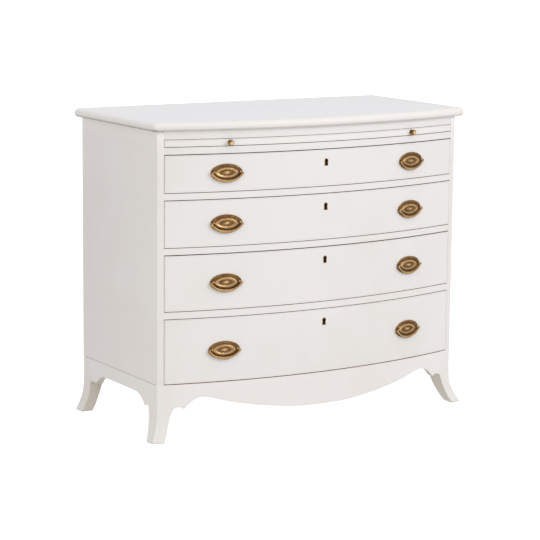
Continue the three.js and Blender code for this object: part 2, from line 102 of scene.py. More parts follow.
def make(name, verts, faces, mats=(), face_mat=None):
    v = np.array(verts, float).reshape(-1, 3)
    v[:, 1] += SHIFT
    me = bpy.data.meshes.new(name)
    me.from_pydata((v * MM).tolist(), [], [[int(i) for i in f] for f in faces])
    for m in mats:
        me.materials.append(m)
    if face_mat is not None:
        me.polygons.foreach_set("material_index", np.asarray(face_mat, np.int32))
    me.update()
    o = bpy.data.objects.new(name, me)
    COLL.objects.link(o)
    bm = bmesh.new()
    bm.from_mesh(me)
    bmesh.ops.recalc_face_normals(bm, faces=bm.faces)
    bm.to_mesh(me)
    bm.free()
    return o


def settle(o):
    dg = bpy.context.evaluated_depsgraph_get()
    me = bpy.data.meshes.new_from_object(
        o.evaluated_get(dg), preserve_all_data_layers=True, depsgraph=dg
    )
    o.modifiers.clear()
    old = o.data
    o.data = me
    bpy.data.meshes.remove(old)


def carve(o, tools, keep=False):
    for t in tools:
        for m in o.data.materials:
            t.data.materials.append(m)
        b = o.modifiers.new("cut", "BOOLEAN")
        b.object = t
        b.operation = "DIFFERENCE"
        b.solver = "EXACT"
        b.material_mode = "INDEX"
    settle(o)
    if not keep:
        for t in tools:
            drop(t)


def drop(o):
    me = o.data
    bpy.data.objects.remove(o)
    bpy.data.meshes.remove(me)


def arris(o, width, segs=2, pick=None, angle=30.0, mat=-1):
    bm = bmesh.new()
    bm.from_mesh(o.data)
    chosen = []
    for e in bm.edges:
        if len(e.link_faces) != 2:
            continue
        if math.degrees(e.calc_face_angle(0.0)) < angle:
            continue
        a, b = e.verts[0].co / MM, e.verts[1].co / MM
        a.y -= SHIFT
        b.y -= SHIFT
        if pick is None or pick(a, b):
            chosen.append(e)
    bmesh.ops.bevel(
        bm,
        geom=chosen,
        offset=width * MM,
        offset_type="OFFSET",
        segments=segs,
        profile=0.5,
        affect="EDGES",
        clamp_overlap=True,
        material=mat,
    )
    bm.to_mesh(o.data)
    bm.free()


def shade(o, angle=38.0, weighted=True):
    me = o.data
    me.polygons.foreach_set("use_smooth", np.ones(len(me.polygons), bool))
    me.set_sharp_from_angle(angle=math.radians(angle))
    if weighted:
        w = o.modifiers.new("w", "WEIGHTED_NORMAL")
        w.keep_sharp = True
        w.weight = 50
        settle(o)


def assign(o, choose):
    """choose(centre in mm, normal) gives each face its material slot"""
    idx = []
    for p in o.data.polygons:
        c = p.center / MM
        c.y -= SHIFT
        idx.append(choose(c, p.normal))
    o.data.polygons.foreach_set("material_index", np.array(idx, np.int32))
    o.data.update()


def loft(rings, closed=True, caps=True):
    rings = np.asarray(rings, float)
    n, m = rings.shape[:2]
    verts = rings.reshape(-1, 3)
    faces = []
    last = m if closed else m - 1
    for i in range(n - 1):
        a, b = i * m, (i + 1) * m
        for j in range(last):
            k = (j + 1) % m
            faces.append((a + j, a + k, b + k, b + j))
    if caps:
        faces.append(tuple(range(m)))
        faces.append(tuple((n - 1) * m + j for j in range(m)))
    return verts, faces


def merge(*parts):
    verts, faces, marks = [], [], []
    base = 0
    for mark, (v, f) in enumerate(parts):
        v = np.asarray(v, float).reshape(-1, 3)
        verts.append(v)
        faces += [tuple(i + base for i in q) for q in f]
        marks += [mark] * len(f)
        base += len(v)
    return np.concatenate(verts), faces, marks


def prism(outline, z0, z1):
    p = np.asarray(outline, float)
    return loft(
        [
            np.column_stack([p, np.full(len(p), z0)]),
            np.column_stack([p, np.full(len(p), z1)]),
        ]
    )


def box(x0, x1, y0, y1, z0, z1):
    return prism([(x0, y0), (x1, y0), (x1, y1), (x0, y1)], z0, z1)


def between(poly_a, poly_b):
    """a solid between two outlines of 3-D points"""
    return loft([poly_a, poly_b])


def rod(p0, p1, r, n=16, r1=None):
    p0, p1 = np.asarray(p0, float), np.asarray(p1, float)
    d = (p1 - p0) / np.linalg.norm(p1 - p0)
    u = np.cross(d, [0, 0, 1.0])
    if np.linalg.norm(u) < 1e-6:
        u = np.array([1.0, 0, 0])
    u /= np.linalg.norm(u)
    w = np.cross(d, u)
    t = np.linspace(0, 2 * np.pi, n, endpoint=False)
    ring = np.cos(t)[:, None] * u + np.sin(t)[:, None] * w
    return loft([p0 + r * ring, p1 + (r if r1 is None else r1) * ring])


def lathe(profile, n=40):
    """profile is (radius, height) along +y; both ends lie on the axis"""
    pts = [(max(r, 0.0), h) for r, h in profile]
    t = np.linspace(0, 2 * np.pi, n, endpoint=False)
    verts, rings = [], []
    for r, h in pts:
        if r < 1e-6:
            rings.append([len(verts)])
            verts.append((0, h, 0))
        else:
            rings.append(list(range(len(verts), len(verts) + n)))
            verts += [(r * math.cos(a), h, r * math.sin(a)) for a in t]
    faces = []
    for a, b in zip(rings, rings[1:]):
        for j in range(n):
            k = (j + 1) % n
            if len(a) == 1:
                faces.append((a[0], b[k], b[j]))
            elif len(b) == 1:
                faces.append((a[j], a[k], b[0]))
            else:
                faces.append((a[j], a[k], b[k], b[j]))
    return np.array(verts, float), faces


def curve_through(pts, per):
    """a smooth line through points in the plane"""
    p = np.asarray(pts, float)
    q = np.vstack([2 * p[0] - p[1], p, 2 * p[-1] - p[-2]])
    out = []
    for i in range(1, len(q) - 2):
        a, b, c, d = q[i - 1], q[i], q[i + 1], q[i + 2]
        for k in range(per):
            t = k / per
            out.append(
                0.5
                * (
                    2 * b
                    + (c - a) * t
                    + (2 * a - 5 * b + 4 * c - d) * t * t
                    + (3 * b - a - 3 * c + d) * t**3
                )
            )
    out.append(q[-2])
    return np.array(out)


def reader(table):
    """a smooth monotone reading of a table of (key, value) rows"""
    t = sorted(table)
    x = np.array([k for k, _ in t], float)
    y = np.array([v for _, v in t], float)
    h = np.diff(x)
    d = np.diff(y) / h
    m = np.zeros(len(x))
    m[0], m[-1] = d[0], d[-1]
    for i in range(1, len(x) - 1):
        if d[i - 1] * d[i] > 0:
            w1, w2 = 2 * h[i] + h[i - 1], h[i] + 2 * h[i - 1]
            m[i] = (w1 + w2) / (w1 / d[i - 1] + w2 / d[i])

    def at(k):
        k = min(max(k, x[0]), x[-1])
        i = int(np.clip(np.searchsorted(x, k, side="right") - 1, 0, len(x) - 2))
        s = (k - x[i]) / h[i]
        return float(
            y[i] * (1 + 2 * s) * (1 - s) ** 2
            + m[i] * h[i] * s * (1 - s) ** 2
            + y[i + 1] * s * s * (3 - 2 * s)
            + m[i + 1] * h[i] * s * s * (s - 1)
        )

    return at


def round_corner(prev, corner, nxt, r, n=5):
    """an arc-like run of points that rounds one corner of an outline"""
    prev, corner, nxt = (np.asarray(p, float) for p in (prev, corner, nxt))
    a, b = prev - corner, nxt - corner
    la, lb = np.linalg.norm(a), np.linalg.norm(b)
    a, b = a / la, b / lb
    half = math.acos(max(-1.0, min(1.0, float(a @ b)))) / 2
    t = min(r / math.tan(half), 0.45 * la, 0.45 * lb)
    rr = t * math.tan(half)
    mid = (a + b) / np.linalg.norm(a + b)
    c = corner + mid * (rr / math.sin(half))
    p0, p1 = corner + a * t, corner + b * t
    a0 = math.atan2(*(p0 - c)[::-1])
    a1 = math.atan2(*(p1 - c)[::-1])
    d = (a1 - a0 + math.pi) % (2 * math.pi) - math.pi
    return [
        c + rr * np.array([math.cos(a0 + d * k / n), math.sin(a0 + d * k / n)])
        for k in range(n + 1)
    ]


def piece(o, body, slot_name, *nodes):
    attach(o, body)
    if nodes:
        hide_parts(*nodes)
    return o


# ------------------------------------------------------------------ finishes
def srgb(r, g, b):
    def lin(c):
        c /= 255.0
        return c / 12.92 if c <= 0.04045 else ((c + 0.055) / 1.055) ** 2.4

    return (lin(r), lin(g), lin(b), 1.0)


class Tree:
    def __init__(self, name):
        self.mat = bpy.data.materials.new(name)
        self.mat.use_nodes = True
        self.nt = self.mat.node_tree
        self.nt.nodes.clear()
        self.out = self.nt.nodes.new("ShaderNodeOutputMaterial")
        self.bsdf = self.nt.nodes.new("ShaderNodeBsdfPrincipled")
        self.link(self.bsdf.outputs[0], self.out.inputs[0])

    def link(self, a, b):
        self.nt.links.new(a, b)

    def node(self, kind, **kw):
        n = self.nt.nodes.new(kind)
        for k, v in kw.items():
            setattr(n, k, v)
        return n

    def put(self, sock, value):
        if hasattr(value, "is_linked"):
            self.link(value, sock)
        else:
            sock.default_value = value

    def coords(self, scale=(1, 1, 1), loc=(0, 0, 0)):
        tc = self.node("ShaderNodeTexCoord")
        mp = self.node("ShaderNodeMapping")
        self.link(tc.outputs["Object"], mp.inputs["Vector"])
        mp.inputs["Scale"].default_value = scale
        mp.inputs["Location"].default_value = loc
        return mp.outputs[0]

    def noise(self, vec, scale, detail=3.0, rough=0.5, distort=0.0):
        n = self.node("ShaderNodeTexNoise")
        self.link(vec, n.inputs["Vector"])
        n.inputs["Scale"].default_value = scale
        n.inputs["Detail"].default_value = detail
        n.inputs["Roughness"].default_value = rough
        n.inputs["Distortion"].default_value = distort
        return n.outputs["Fac"]

    def ramp(self, fac, stops, interp="LINEAR"):
        r = self.node("ShaderNodeValToRGB")
        r.color_ramp.interpolation = interp
        els = r.color_ramp.elements
        while len(els) < len(stops):
            els.new(0.5)
        for e, (p, c) in zip(els, stops):
            e.position = p
            e.color = c if len(c) == 4 else (*c, 1.0)
        self.link(fac, r.inputs["Fac"])
        return r.outputs["Color"]

    def math(self, op, a, b=0.0, clamp=False):
        n = self.node("ShaderNodeMath", operation=op, use_clamp=clamp)
        self.put(n.inputs[0], a)
        self.put(n.inputs[1], b)
        return n.outputs[0]

    def span(self, v, lo, hi, to0=0.0, to1=1.0):
        n = self.node("ShaderNodeMapRange")
        n.clamp = True
        self.put(n.inputs["Value"], v)
        n.inputs["From Min"].default_value = lo
        n.inputs["From Max"].default_value = hi
        n.inputs["To Min"].default_value = to0
        n.inputs["To Max"].default_value = to1
        return n.outputs[0]

    def mix(self, fac, a, b, blend="MIX"):
        n = self.node("ShaderNodeMix", data_type="RGBA", blend_type=blend)
        self.put(n.inputs[0], fac)
        self.put(n.inputs[6], a)
        self.put(n.inputs[7], b)
        return n.outputs[2]

    def mixf(self, fac, a, b):
        n = self.node("ShaderNodeMix", data_type="FLOAT")
        self.put(n.inputs[0], fac)
        self.put(n.inputs[2], a)
        self.put(n.inputs[3], b)
        return n.outputs[0]

    def bump(self, height, strength, distance, normal=None):
        n = self.node("ShaderNodeBump")
        n.inputs["Strength"].default_value = strength
        n.inputs["Distance"].default_value = distance
        self.link(height, n.inputs["Height"])
        if normal is not None:
            self.link(normal, n.inputs["Normal"])
        return n.outputs[0]

    def attr(self, name):
        n = self.node("ShaderNodeAttribute", attribute_name=name)
        return n.outputs["Fac"]


AXIS = {"x": 0, "y": 1, "z": 2}

PAINT_RGB = (234, 231, 228)
# a dark brown used both as painted shade (the top's lower round, the line just under the top, the foot groove) and as
# soiling
SHADE_AND_DIRT = srgb(106, 76, 50)


def stretch(axis, along, across):
    s = [across] * 3
    s[AXIS[axis]] = along
    return tuple(s)


def paint_nodes(t, axis):
    """satin off-white paint, brushed along one axis"""
    base = srgb(*PAINT_RGB)
    low = tuple(c * k for c, k in zip(base[:3], (0.965, 0.958, 0.945))) + (1.0,)
    high = tuple(min(1.0, c * 1.012) for c in base[:3]) + (1.0,)
    cloud = t.noise(t.coords((1, 1, 1), (3.1, 1.7, 0.4)), 3.2, 4.0, 0.55)
    tone = t.ramp(cloud, [(0.30, low), (0.52, base), (0.74, high)])
    speck = t.noise(t.coords((1, 1, 1), (0.3, 5.0, 2.0)), 420.0, 2.0, 0.6)
    tone = t.mix(
        t.span(speck, 0.66, 0.80, 0.0, 0.10), tone, tuple(c * 0.9 for c in base[:3]) + (1.0,)
    )
    strokes = t.noise(t.coords(stretch(axis, 5.0, 520.0)), 1.0, 3.0, 0.6, 0.15)
    broad = t.noise(t.coords(stretch(axis, 2.0, 90.0), (7, 2, 5)), 1.0, 2.0, 0.5)
    peel = t.noise(t.coords(), 260.0, 2.0, 0.5)
    h = t.math(
        "ADD", t.math("MULTIPLY", strokes, 0.6), t.math("MULTIPLY", broad, 0.8)
    )
    h = t.math("ADD", h, t.math("MULTIPLY", peel, 0.35))
    tone = t.mix(t.span(strokes, 0.35, 0.65, 0.0, 0.05), tone, low)
    rough = t.span(t.math("ADD", cloud, t.math("MULTIPLY", strokes, 0.3)), 0.4, 0.9, 0.40, 0.52)
    return tone, rough, h


def under_top(t, tone, depth, dirt_and_shade, light, start, reach):
    """the case just under the top: a brown line in the joint, partly soiling and partly painted shade under the
    overhang, then a band painted lighter as painted light where the overhang shades it
    """
    tc = t.node("ShaderNodeTexCoord")
    sp = t.node("ShaderNodeSeparateXYZ")
    t.link(tc.outputs["Object"], sp.inputs[0])
    down = t.math("SUBTRACT", (TOP_Z - TOP_T) * MM, sp.outputs["Z"])
    # painted light: lighter paint in the band that the overhang shades
    lit_band = t.span(down, start * MM, reach * MM, 0.66, 0.0)
    lit_band = t.math("ADD", lit_band, t.span(down, 0.0, 0.19, 0.34, 0.0))
    tone = t.mix(lit_band, tone, tuple(min(1.0, c * k) for c, k in zip(srgb(*PAINT_RGB)[:3], light)) + (1.0,))
    # painted shade with soiling: the brown line right under the top
    ragged = t.noise(t.coords((1, 1, 1), (2.0, 0.5, 0.0)), 60.0, 3.0, 0.6)
    line = t.math("ADD", down, t.math("MULTIPLY", t.math("SUBTRACT", ragged, 0.5), 1.6 * MM))
    return t.mix(t.span(line, depth * MM, (depth + 0.4) * MM, dirt_and_shade, 0.0), tone, SHADE_AND_DIRT)


def lit_front_shaded_rear(t, tone, front, rear):
    """the paint lighter at the case's front and darker at its back: painted light and shade, as the light falls off
    towards the back
    """
    tc = t.node("ShaderNodeTexCoord")
    sp = t.node("ShaderNodeSeparateXYZ")
    t.link(tc.outputs["Object"], sp.inputs[0])
    wander = t.noise(t.coords((1, 1, 1), (6.0, 1.0, 2.5)), 3.0, 2.0, 0.5)
    y = t.math("ADD", sp.outputs["Y"], t.math("MULTIPLY", t.math("SUBTRACT", wander, 0.5), 0.08))
    tint = t.ramp(t.span(y, SHIFT * MM, (SHIFT + CASE_BACK) * MM), [(0.0, front), (1.0, rear)])
    tone = t.mix(1.0, tone, tint, "MULTIPLY")
    # and a little darker and cooler within 2.5 mm of the front plane
    fore = t.span(sp.outputs["Y"], (SHIFT - 0.5) * MM, (SHIFT + 2.5) * MM, 1.0, 0.0)
    return t.mix(fore, tone, t.mix(1.0, tone, (0.945, 0.955, 0.965, 1.0), "MULTIPLY"))


def grooved(t, tone):
    """dark brown in the groove along the foot of a case side: partly soiling, partly painted shade in the groove"""
    tc = t.node("ShaderNodeTexCoord")
    sp = t.node("ShaderNodeSeparateXYZ")
    t.link(tc.outputs["Object"], sp.inputs[0])
    off = t.math("ABSOLUTE", t.math("SUBTRACT", sp.outputs["Z"], PLINTH_Z * MM))
    y = sp.outputs["Y"]
    along = t.math("MULTIPLY", t.span(y, (SHIFT + 3) * MM, (SHIFT + 8) * MM), t.span(y, (SHIFT + 421) * MM, (SHIFT + 426) * MM, 1.0, 0.0))
    ragged = t.noise(t.coords((1, 1, 1), (4.0, 2.5, 0.0)), 34.0, 3.0, 0.6)
    fill = t.math("MULTIPLY", t.span(off, 0.5 * MM, 1.35 * MM, 0.46, 0.0), t.span(ragged, 0.25, 0.6, 0.5, 1.0))
    return t.mix(t.math("MULTIPLY", fill, along), tone, SHADE_AND_DIRT)


def foot_bottom_darkened(t, tone):
    """darker brown at the very bottom of a foot, with a ragged upper edge"""
    tc = t.node("ShaderNodeTexCoord")
    sp = t.node("ShaderNodeSeparateXYZ")
    t.link(tc.outputs["Object"], sp.inputs[0])
    ragged = t.noise(t.coords((1, 1, 1), (1.0, 8.0, 0.0)), 90.0, 4.0, 0.6)
    z = t.math("ADD", sp.outputs["Z"], t.math("MULTIPLY", t.math("SUBTRACT", ragged, 0.5), 4.0 * MM))
    return t.mix(t.span(z, 0.4 * MM, 4.5 * MM, 0.24, 0.0), tone, SHADE_AND_DIRT)


def tinted(t, tone, k):
    return t.mix(1.0, tone, (*k, 1.0), "MULTIPLY")


def brinked(t, tone):
    """the apron's upper edge in brown like the other gaps' edges: partly rubbed wear, partly painted shade of the gap
    line
    """
    tc = t.node("ShaderNodeTexCoord")
    sp = t.node("ShaderNodeSeparateXYZ")
    t.link(tc.outputs["Object"], sp.inputs[0])
    return t.mix(t.span(sp.outputs["Z"], (PLINTH_Z - 0.8) * MM, (PLINTH_Z - 0.2) * MM, 0.0, 0.6), tone, srgb(188, 126, 70))


def nosed(t, tone):
    """the top's edge: a painted highlight along its upper round, and painted shade in brown along its lower one,
    stronger at the ends
    """
    tc = t.node("ShaderNodeTexCoord")
    sp = t.node("ShaderNodeSeparateXYZ")
    t.link(tc.outputs["Object"], sp.inputs[0])
    z = sp.outputs["Z"]
    # painted highlight: lighter paint along the upper round
    edge_highlight = t.math("MULTIPLY", t.span(z, (TOP_Z - 15) * MM, (TOP_Z - 7) * MM), t.span(z, (TOP_Z - 0.8) * MM, (TOP_Z - 0.2) * MM, 1.0, 0.0))
    pale = tuple(min(1.0, c * k) for c, k in zip(srgb(*PAINT_RGB)[:3], (1.068, 1.055, 1.035))) + (1.0,)
    tone = t.mix(edge_highlight, tone, pale)
    # painted shade: brown along the lower round, which faces down
    ragged = t.noise(t.coords((1, 1, 1), (2.0, 0.5, 0.0)), 60.0, 3.0, 0.6)
    low = t.math("ADD", z, t.math("MULTIPLY", t.math("SUBTRACT", ragged, 0.5), 1.5 * MM))
    dirt_and_shade = t.span(low, (TOP_Z - TOP_T + 0.8) * MM, (TOP_Z - TOP_T + 8.2) * MM)
    ends = t.span(t.math("ABSOLUTE", sp.outputs["X"]), (CASE_HALF + 4) * MM, (CASE_HALF + 14) * MM, 0.26, 0.86)
    return t.mix(t.math("MULTIPLY", t.math("SUBTRACT", 1.0, dirt_and_shade), ends), tone, SHADE_AND_DIRT)


def paint(name, axis, change=None):
    t = Tree(name)
    tone, rough, h = paint_nodes(t, axis)
    if change:
        tone = change(t, tone)
    t.link(tone, t.bsdf.inputs["Base Color"])
    t.link(rough, t.bsdf.inputs["Roughness"])
    t.link(t.bump(h, 0.5, 0.00010), t.bsdf.inputs["Normal"])
    t.bsdf.inputs["Specular IOR Level"].default_value = 0.42
    return t.mat


def wood_nodes(t, axis, light, dark, seed=0.0):
    """bare timber with its grain along one axis"""
    bands = t.noise(
        t.coords(stretch(axis, 1.1, 17.0), (seed, seed * 0.7, seed * 1.3)), 1.0, 5.0, 0.55, 0.9
    )
    fibre = t.noise(t.coords(stretch(axis, 7.0, 620.0), (seed, 0, 0)), 1.0, 3.0, 0.65)
    pore = t.noise(t.coords(stretch(axis, 26.0, 900.0), (0, seed, 0)), 1.0, 2.0, 0.5)
    tone = t.ramp(
        bands,
        [(0.30, dark), (0.46, tuple(0.45 * a + 0.55 * b for a, b in zip(light, dark))), (0.60, light)],
    )
    tone = t.mix(t.span(fibre, 0.35, 0.72, 0.0, 0.30), tone, tuple(c * 0.72 for c in dark[:3]) + (1.0,))
    tone = t.mix(t.span(pore, 0.64, 0.74, 0.0, 0.45), tone, tuple(c * 0.45 for c in dark[:3]) + (1.0,))
    rough = t.span(fibre, 0.3, 0.8, 0.55, 0.78)
    h = t.math("ADD", t.math("MULTIPLY", fibre, 0.7), t.math("MULTIPLY", pore, -0.5))
    return tone, rough, h


def wood(name, axis, light, dark, seed=0.0):
    t = Tree(name)
    tone, rough, h = wood_nodes(t, axis, light, dark, seed)
    t.link(tone, t.bsdf.inputs["Base Color"])
    t.link(rough, t.bsdf.inputs["Roughness"])
    t.link(t.bump(h, 0.6, 0.00025), t.bsdf.inputs["Normal"])
    t.bsdf.inputs["Specular IOR Level"].default_value = 0.3
    return t.mat


CARCASS_WOOD = (srgb(205, 172, 128), srgb(176, 138, 94))
DRAWER_WOOD = (srgb(208, 178, 136), srgb(181, 146, 103))
PLY_WOOD = (srgb(219, 192, 151), srgb(193, 160, 116))


# dark brown on bare timber inside the gaps: partly grimy build-up, partly painted shade that darkens the gap lines
GRIME_AND_GAP_SHADE = srgb(84, 52, 29)
# brown on the painted arrises beside the gaps: partly rubbed wear, partly painted shade of the gap lines
STAIN_AND_GAP_SHADE = srgb(188, 126, 70)


def lipped(name, axis, depth, colours=CARCASS_WOOD, seed=0.0, topped=False, stain_and_shade=(0.05, 0.4, 0.85)):
    """paint on the bowed front that laps a little way back over bare timber: stained brown on its arris, partly rubbed
    wear and partly painted shade of the gap lines, with dark brown behind it that is partly grimy build-up and partly
    painted shade inside the gaps
    """
    t = Tree(name)
    p_tone, p_rough, p_h = paint_nodes(t, axis)
    if topped:
        p_tone = under_top(t, p_tone, 1.1, 0.6, (1.11, 1.11, 1.11), 2.0, 17.0)
    w_tone, w_rough, w_h = wood_nodes(t, axis, *colours, seed)
    tc = t.node("ShaderNodeTexCoord")
    mp = t.node("ShaderNodeMapping")
    t.link(tc.outputs["Object"], mp.inputs["Vector"])
    mp.inputs["Location"].default_value = (0, -(BOW_CY + SHIFT) * MM, 0)
    mp.inputs["Scale"].default_value = (1, 1, 0)
    ln = t.node("ShaderNodeVectorMath", operation="LENGTH")
    t.link(mp.outputs[0], ln.inputs[0])
    back = t.math("SUBTRACT", BOW_R * MM, ln.outputs["Value"])
    ragged = t.noise(t.coords(), 75.0, 4.0, 0.6)
    patchy = t.span(ragged, 0.3, 0.7, 0.55, 1.0)
    # the arris stained brown: partly wear, partly painted shade of the gap line
    p_tone = t.mix(t.math("MULTIPLY", t.span(back, stain_and_shade[0] * MM, stain_and_shade[1] * MM, 0.0, stain_and_shade[2]), patchy), p_tone, STAIN_AND_GAP_SHADE)
    edge = t.math("ADD", back, t.math("MULTIPLY", ragged, 0.5 * depth * MM))
    fac = t.span(edge, depth * 1.22 * MM, (depth * 1.22 + 0.35) * MM)
    # dark brown on the timber inside the gap: partly grimy, partly painted shade
    grime_and_shade = t.span(back, (depth + 3) * MM, 19.0 * MM, 1.0, 0.0)
    w_tone = t.mix(t.math("MULTIPLY", grime_and_shade, 0.94), w_tone, GRIME_AND_GAP_SHADE)
    t.link(t.mix(fac, p_tone, w_tone), t.bsdf.inputs["Base Color"])
    t.link(t.mixf(fac, p_rough, w_rough), t.bsdf.inputs["Roughness"])
    h = t.mixf(fac, p_h, w_h)
    t.link(t.bump(h, 0.5, 0.00012), t.bsdf.inputs["Normal"])
    t.bsdf.inputs["Specular IOR Level"].default_value = 0.4
    return t.mat


def brass(name, bright, mid, dark, rough0, rough1, worn=1.0):
    """aged brass: the attribute tarnish is high in hollows and low on rubbed edges"""
    t = Tree(name)
    tarnish = t.attr("tarnish")
    cloud = t.noise(t.coords((1, 1, 1), (1.3, 0.2, 0.8)), 95.0, 4.0, 0.6, 0.4)
    fine = t.noise(t.coords(), 700.0, 3.0, 0.6)
    wear = t.math("ADD", t.math("MULTIPLY", tarnish, worn), t.span(cloud, 0.25, 0.75, -0.16, 0.16))
    wear = t.math("ADD", wear, t.span(fine, 0.3, 0.7, -0.05, 0.05))
    tone = t.ramp(wear, [(0.0, bright), (0.38, mid), (0.72, tuple((a + b) / 2 for a, b in zip(mid, dark))), (1.0, dark)])
    t.link(tone, t.bsdf.inputs["Base Color"])
    t.bsdf.inputs["Metallic"].default_value = 1.0
    t.link(t.span(wear, 0.0, 1.0, rough0, rough1), t.bsdf.inputs["Roughness"])
    hammer = t.noise(t.coords((1, 1, 1), (4, 4, 4)), 240.0, 2.0, 0.5)
    h = t.math("ADD", t.math("MULTIPLY", hammer, 0.8), t.math("MULTIPLY", fine, 0.3))
    t.link(t.bump(h, 0.35, 0.00012), t.bsdf.inputs["Normal"])
    return t.mat


def steel(name, colour, rough0, rough1):
    t = Tree(name)
    cloud = t.noise(t.coords(), 60.0, 4.0, 0.6)
    lines = t.noise(t.coords((900, 40, 900)), 1.0, 2.0, 0.6)
    low = tuple(c * 0.55 for c in colour[:3]) + (1.0,)
    t.link(t.ramp(cloud, [(0.3, low), (0.7, colour)]), t.bsdf.inputs["Base Color"])
    t.bsdf.inputs["Metallic"].default_value = 1.0
    t.link(t.span(cloud, 0.3, 0.7, rough1, rough0), t.bsdf.inputs["Roughness"])
    t.link(t.bump(lines, 0.3, 0.00005), t.bsdf.inputs["Normal"])
    return t.mat


PAINT_Z = paint("paint_upright", "z")
# painted light and shade on the sides: lighter at the front, darker at the back
SIDE_LIT_FRONT, SIDE_SHADED_REAR = (1.045, 1.025, 1.01), (0.965, 0.945, 0.94)
# the sides' paint: that painted light and shade, dark brown in the foot groove, and under the top a brown line (partly
# soiling, partly painted shade) over a band painted lighter as painted light
PAINT_SIDE = paint(
    "paint_on_sides",
    "z",
    lambda t, tone: under_top(t, grooved(t, lit_front_shaded_rear(t, tone, SIDE_LIT_FRONT, SIDE_SHADED_REAR)), 2.3, 0.92, (1.19, 1.17, 1.15), 8.0, 42.0),
)
# painted light and shade on the side aprons: lighter at the front, darker at the back
APRON_FRONT, APRON_REAR = (1.072, 1.06, 1.045), (0.985, 0.968, 0.962)
PAINT_SIDE_APRON = paint("paint_on_side_aprons", "y", lambda t, tone: grooved(t, lit_front_shaded_rear(t, tone, APRON_FRONT, APRON_REAR)))
# painted light and shade on the feet: lighter at the front, darker at the back
FOOT_FRONT, FOOT_REAR = (1.045, 1.035, 1.01), (0.915, 0.888, 0.855)


# the feet's painted light and shade, blending into the aprons' towards the top of the foot
def foot_tone(t, tone):
    tc = t.node("ShaderNodeTexCoord")
    sp = t.node("ShaderNodeSeparateXYZ")
    t.link(tc.outputs["Object"], sp.inputs[0])
    up = t.span(sp.outputs["Z"], 0.05, 0.12)
    return t.mix(up, lit_front_shaded_rear(t, tone, FOOT_FRONT, FOOT_REAR), lit_front_shaded_rear(t, tone, APRON_FRONT, APRON_REAR))


# the feet's paint: painted light and shade from front to back, dark brown in the groove, darker at the very bottom
PAINT_FOOT = paint("paint_on_feet", "z", lambda t, tone: foot_bottom_darkened(t, grooved(t, foot_tone(t, tone))))
# a darker, warmer copy of the foot paint for the feet's inward faces: partly soiling, partly painted shade under the
# case
PAINT_FOOT_IN = paint(
    "paint_inside_feet", "z", lambda t, tone: foot_bottom_darkened(t, tinted(t, lit_front_shaded_rear(t, tone, FOOT_FRONT, FOOT_REAR), (0.893, 0.887, 0.858)))
)
# a darker copy of the paint for the aprons' lower edges: painted shade on faces that look down, with some soiling
PAINT_UNDER = paint("paint_on_apron_edges", "x", lambda t, tone: tinted(t, tone, (0.77, 0.75, 0.69)))
# a lighter copy of the paint for the slide: painted light
PAINT_SLIDE = paint("paint_on_slide", "x", lambda t, tone: tinted(t, tone, (1.052, 1.052, 1.045)))
# a lighter copy of the paint for the front apron, painted light, with its upper edge brown
PAINT_APRON = paint("paint_on_apron", "x", lambda t, tone: brinked(t, tinted(t, tone, (1.033, 1.028, 1.033))))
# the top: painted highlight on the upper round of its edge, painted shade on the lower one
PAINT_TOP = paint("paint_on_top", "x", nosed)
# the top rail: under the top a brown line, partly soiling and partly painted shade, over a band painted lighter as
# painted light
LIP_TOP = lipped("paint_over_top_rail", "x", 2.2, CARCASS_WOOD, 1.5, True)
# arrises stained brown and dark timber in the gaps, partly soiling and partly painted shade; the right jamb has no
# brown arris
LIP_RAIL = lipped("paint_over_rail", "x", 2.2, CARCASS_WOOD, 1.0)
LIP_FRONT = lipped("paint_over_drawer_front", "x", 1.7, DRAWER_WOOD, 2.0, False, (0.82, 1.15, 0.85))
LIP_JAMB = lipped("paint_over_jamb", "z", 2.2, CARCASS_WOOD, 3.0)
LIP_JAMB_UNSTAINED = lipped("paint_over_right_jamb", "z", 2.2, CARCASS_WOOD, 3.5, False, (0.05, 0.4, 0.0))
BARE_X = wood("timber_along_width", "x", *CARCASS_WOOD, 4.0)
BARE_Y = wood("timber_along_depth", "y", *CARCASS_WOOD, 5.0)
BARE_Z = wood("timber_upright", "z", *CARCASS_WOOD, 6.0)
BOX_Y = wood("drawer_side_timber", "y", *DRAWER_WOOD, 7.0)
BOX_X = wood("drawer_back_timber", "x", *DRAWER_WOOD, 8.0)
END_GRAIN = wood("end_grain", "z", srgb(168, 130, 88), srgb(138, 102, 66), 9.0)
PLY = wood("drawer_bottom_ply", "x", *PLY_WOOD, 10.0)
RAW_CUT = wood("cut_timber", "z", srgb(150, 118, 82), srgb(118, 88, 58), 11.0)

BRASS = brass(
    "aged_brass",
    (0.50, 0.335, 0.165, 1),
    (0.31, 0.185, 0.080, 1),
    (0.095, 0.043, 0.016, 1),
    0.20,
    0.44,
)
KNOB_BRASS = brass(
    "rubbed_brass",
    (0.60, 0.40, 0.185, 1),
    (0.33, 0.19, 0.078, 1),
    (0.07, 0.034, 0.013, 1),
    0.10,
    0.40,
)
BOLT_BRASS = brass(
    "bolt_brass",
    (0.70, 0.52, 0.28, 1),
    (0.52, 0.36, 0.18, 1),
    (0.09, 0.05, 0.02, 1),
    0.2,
    0.45,
)
STEEL = steel("lock_steel", (0.42, 0.41, 0.39, 1), 0.34, 0.55)
# very dark timber for the keyhole's cut faces: painted shade inside the hole
KEYHOLE_SHADE_TIMBER = wood("keyhole_shade_timber", "z", srgb(62, 42, 27), srgb(44, 29, 18), 12.0)
SCREW = steel("screw_steel", (0.34, 0.33, 0.31, 1), 0.3, 0.5)


def tarnish(o, values):
    a = o.data.attributes.new("tarnish", "FLOAT", "POINT")
    a.data.foreach_set("value", np.asarray(values, np.float32))


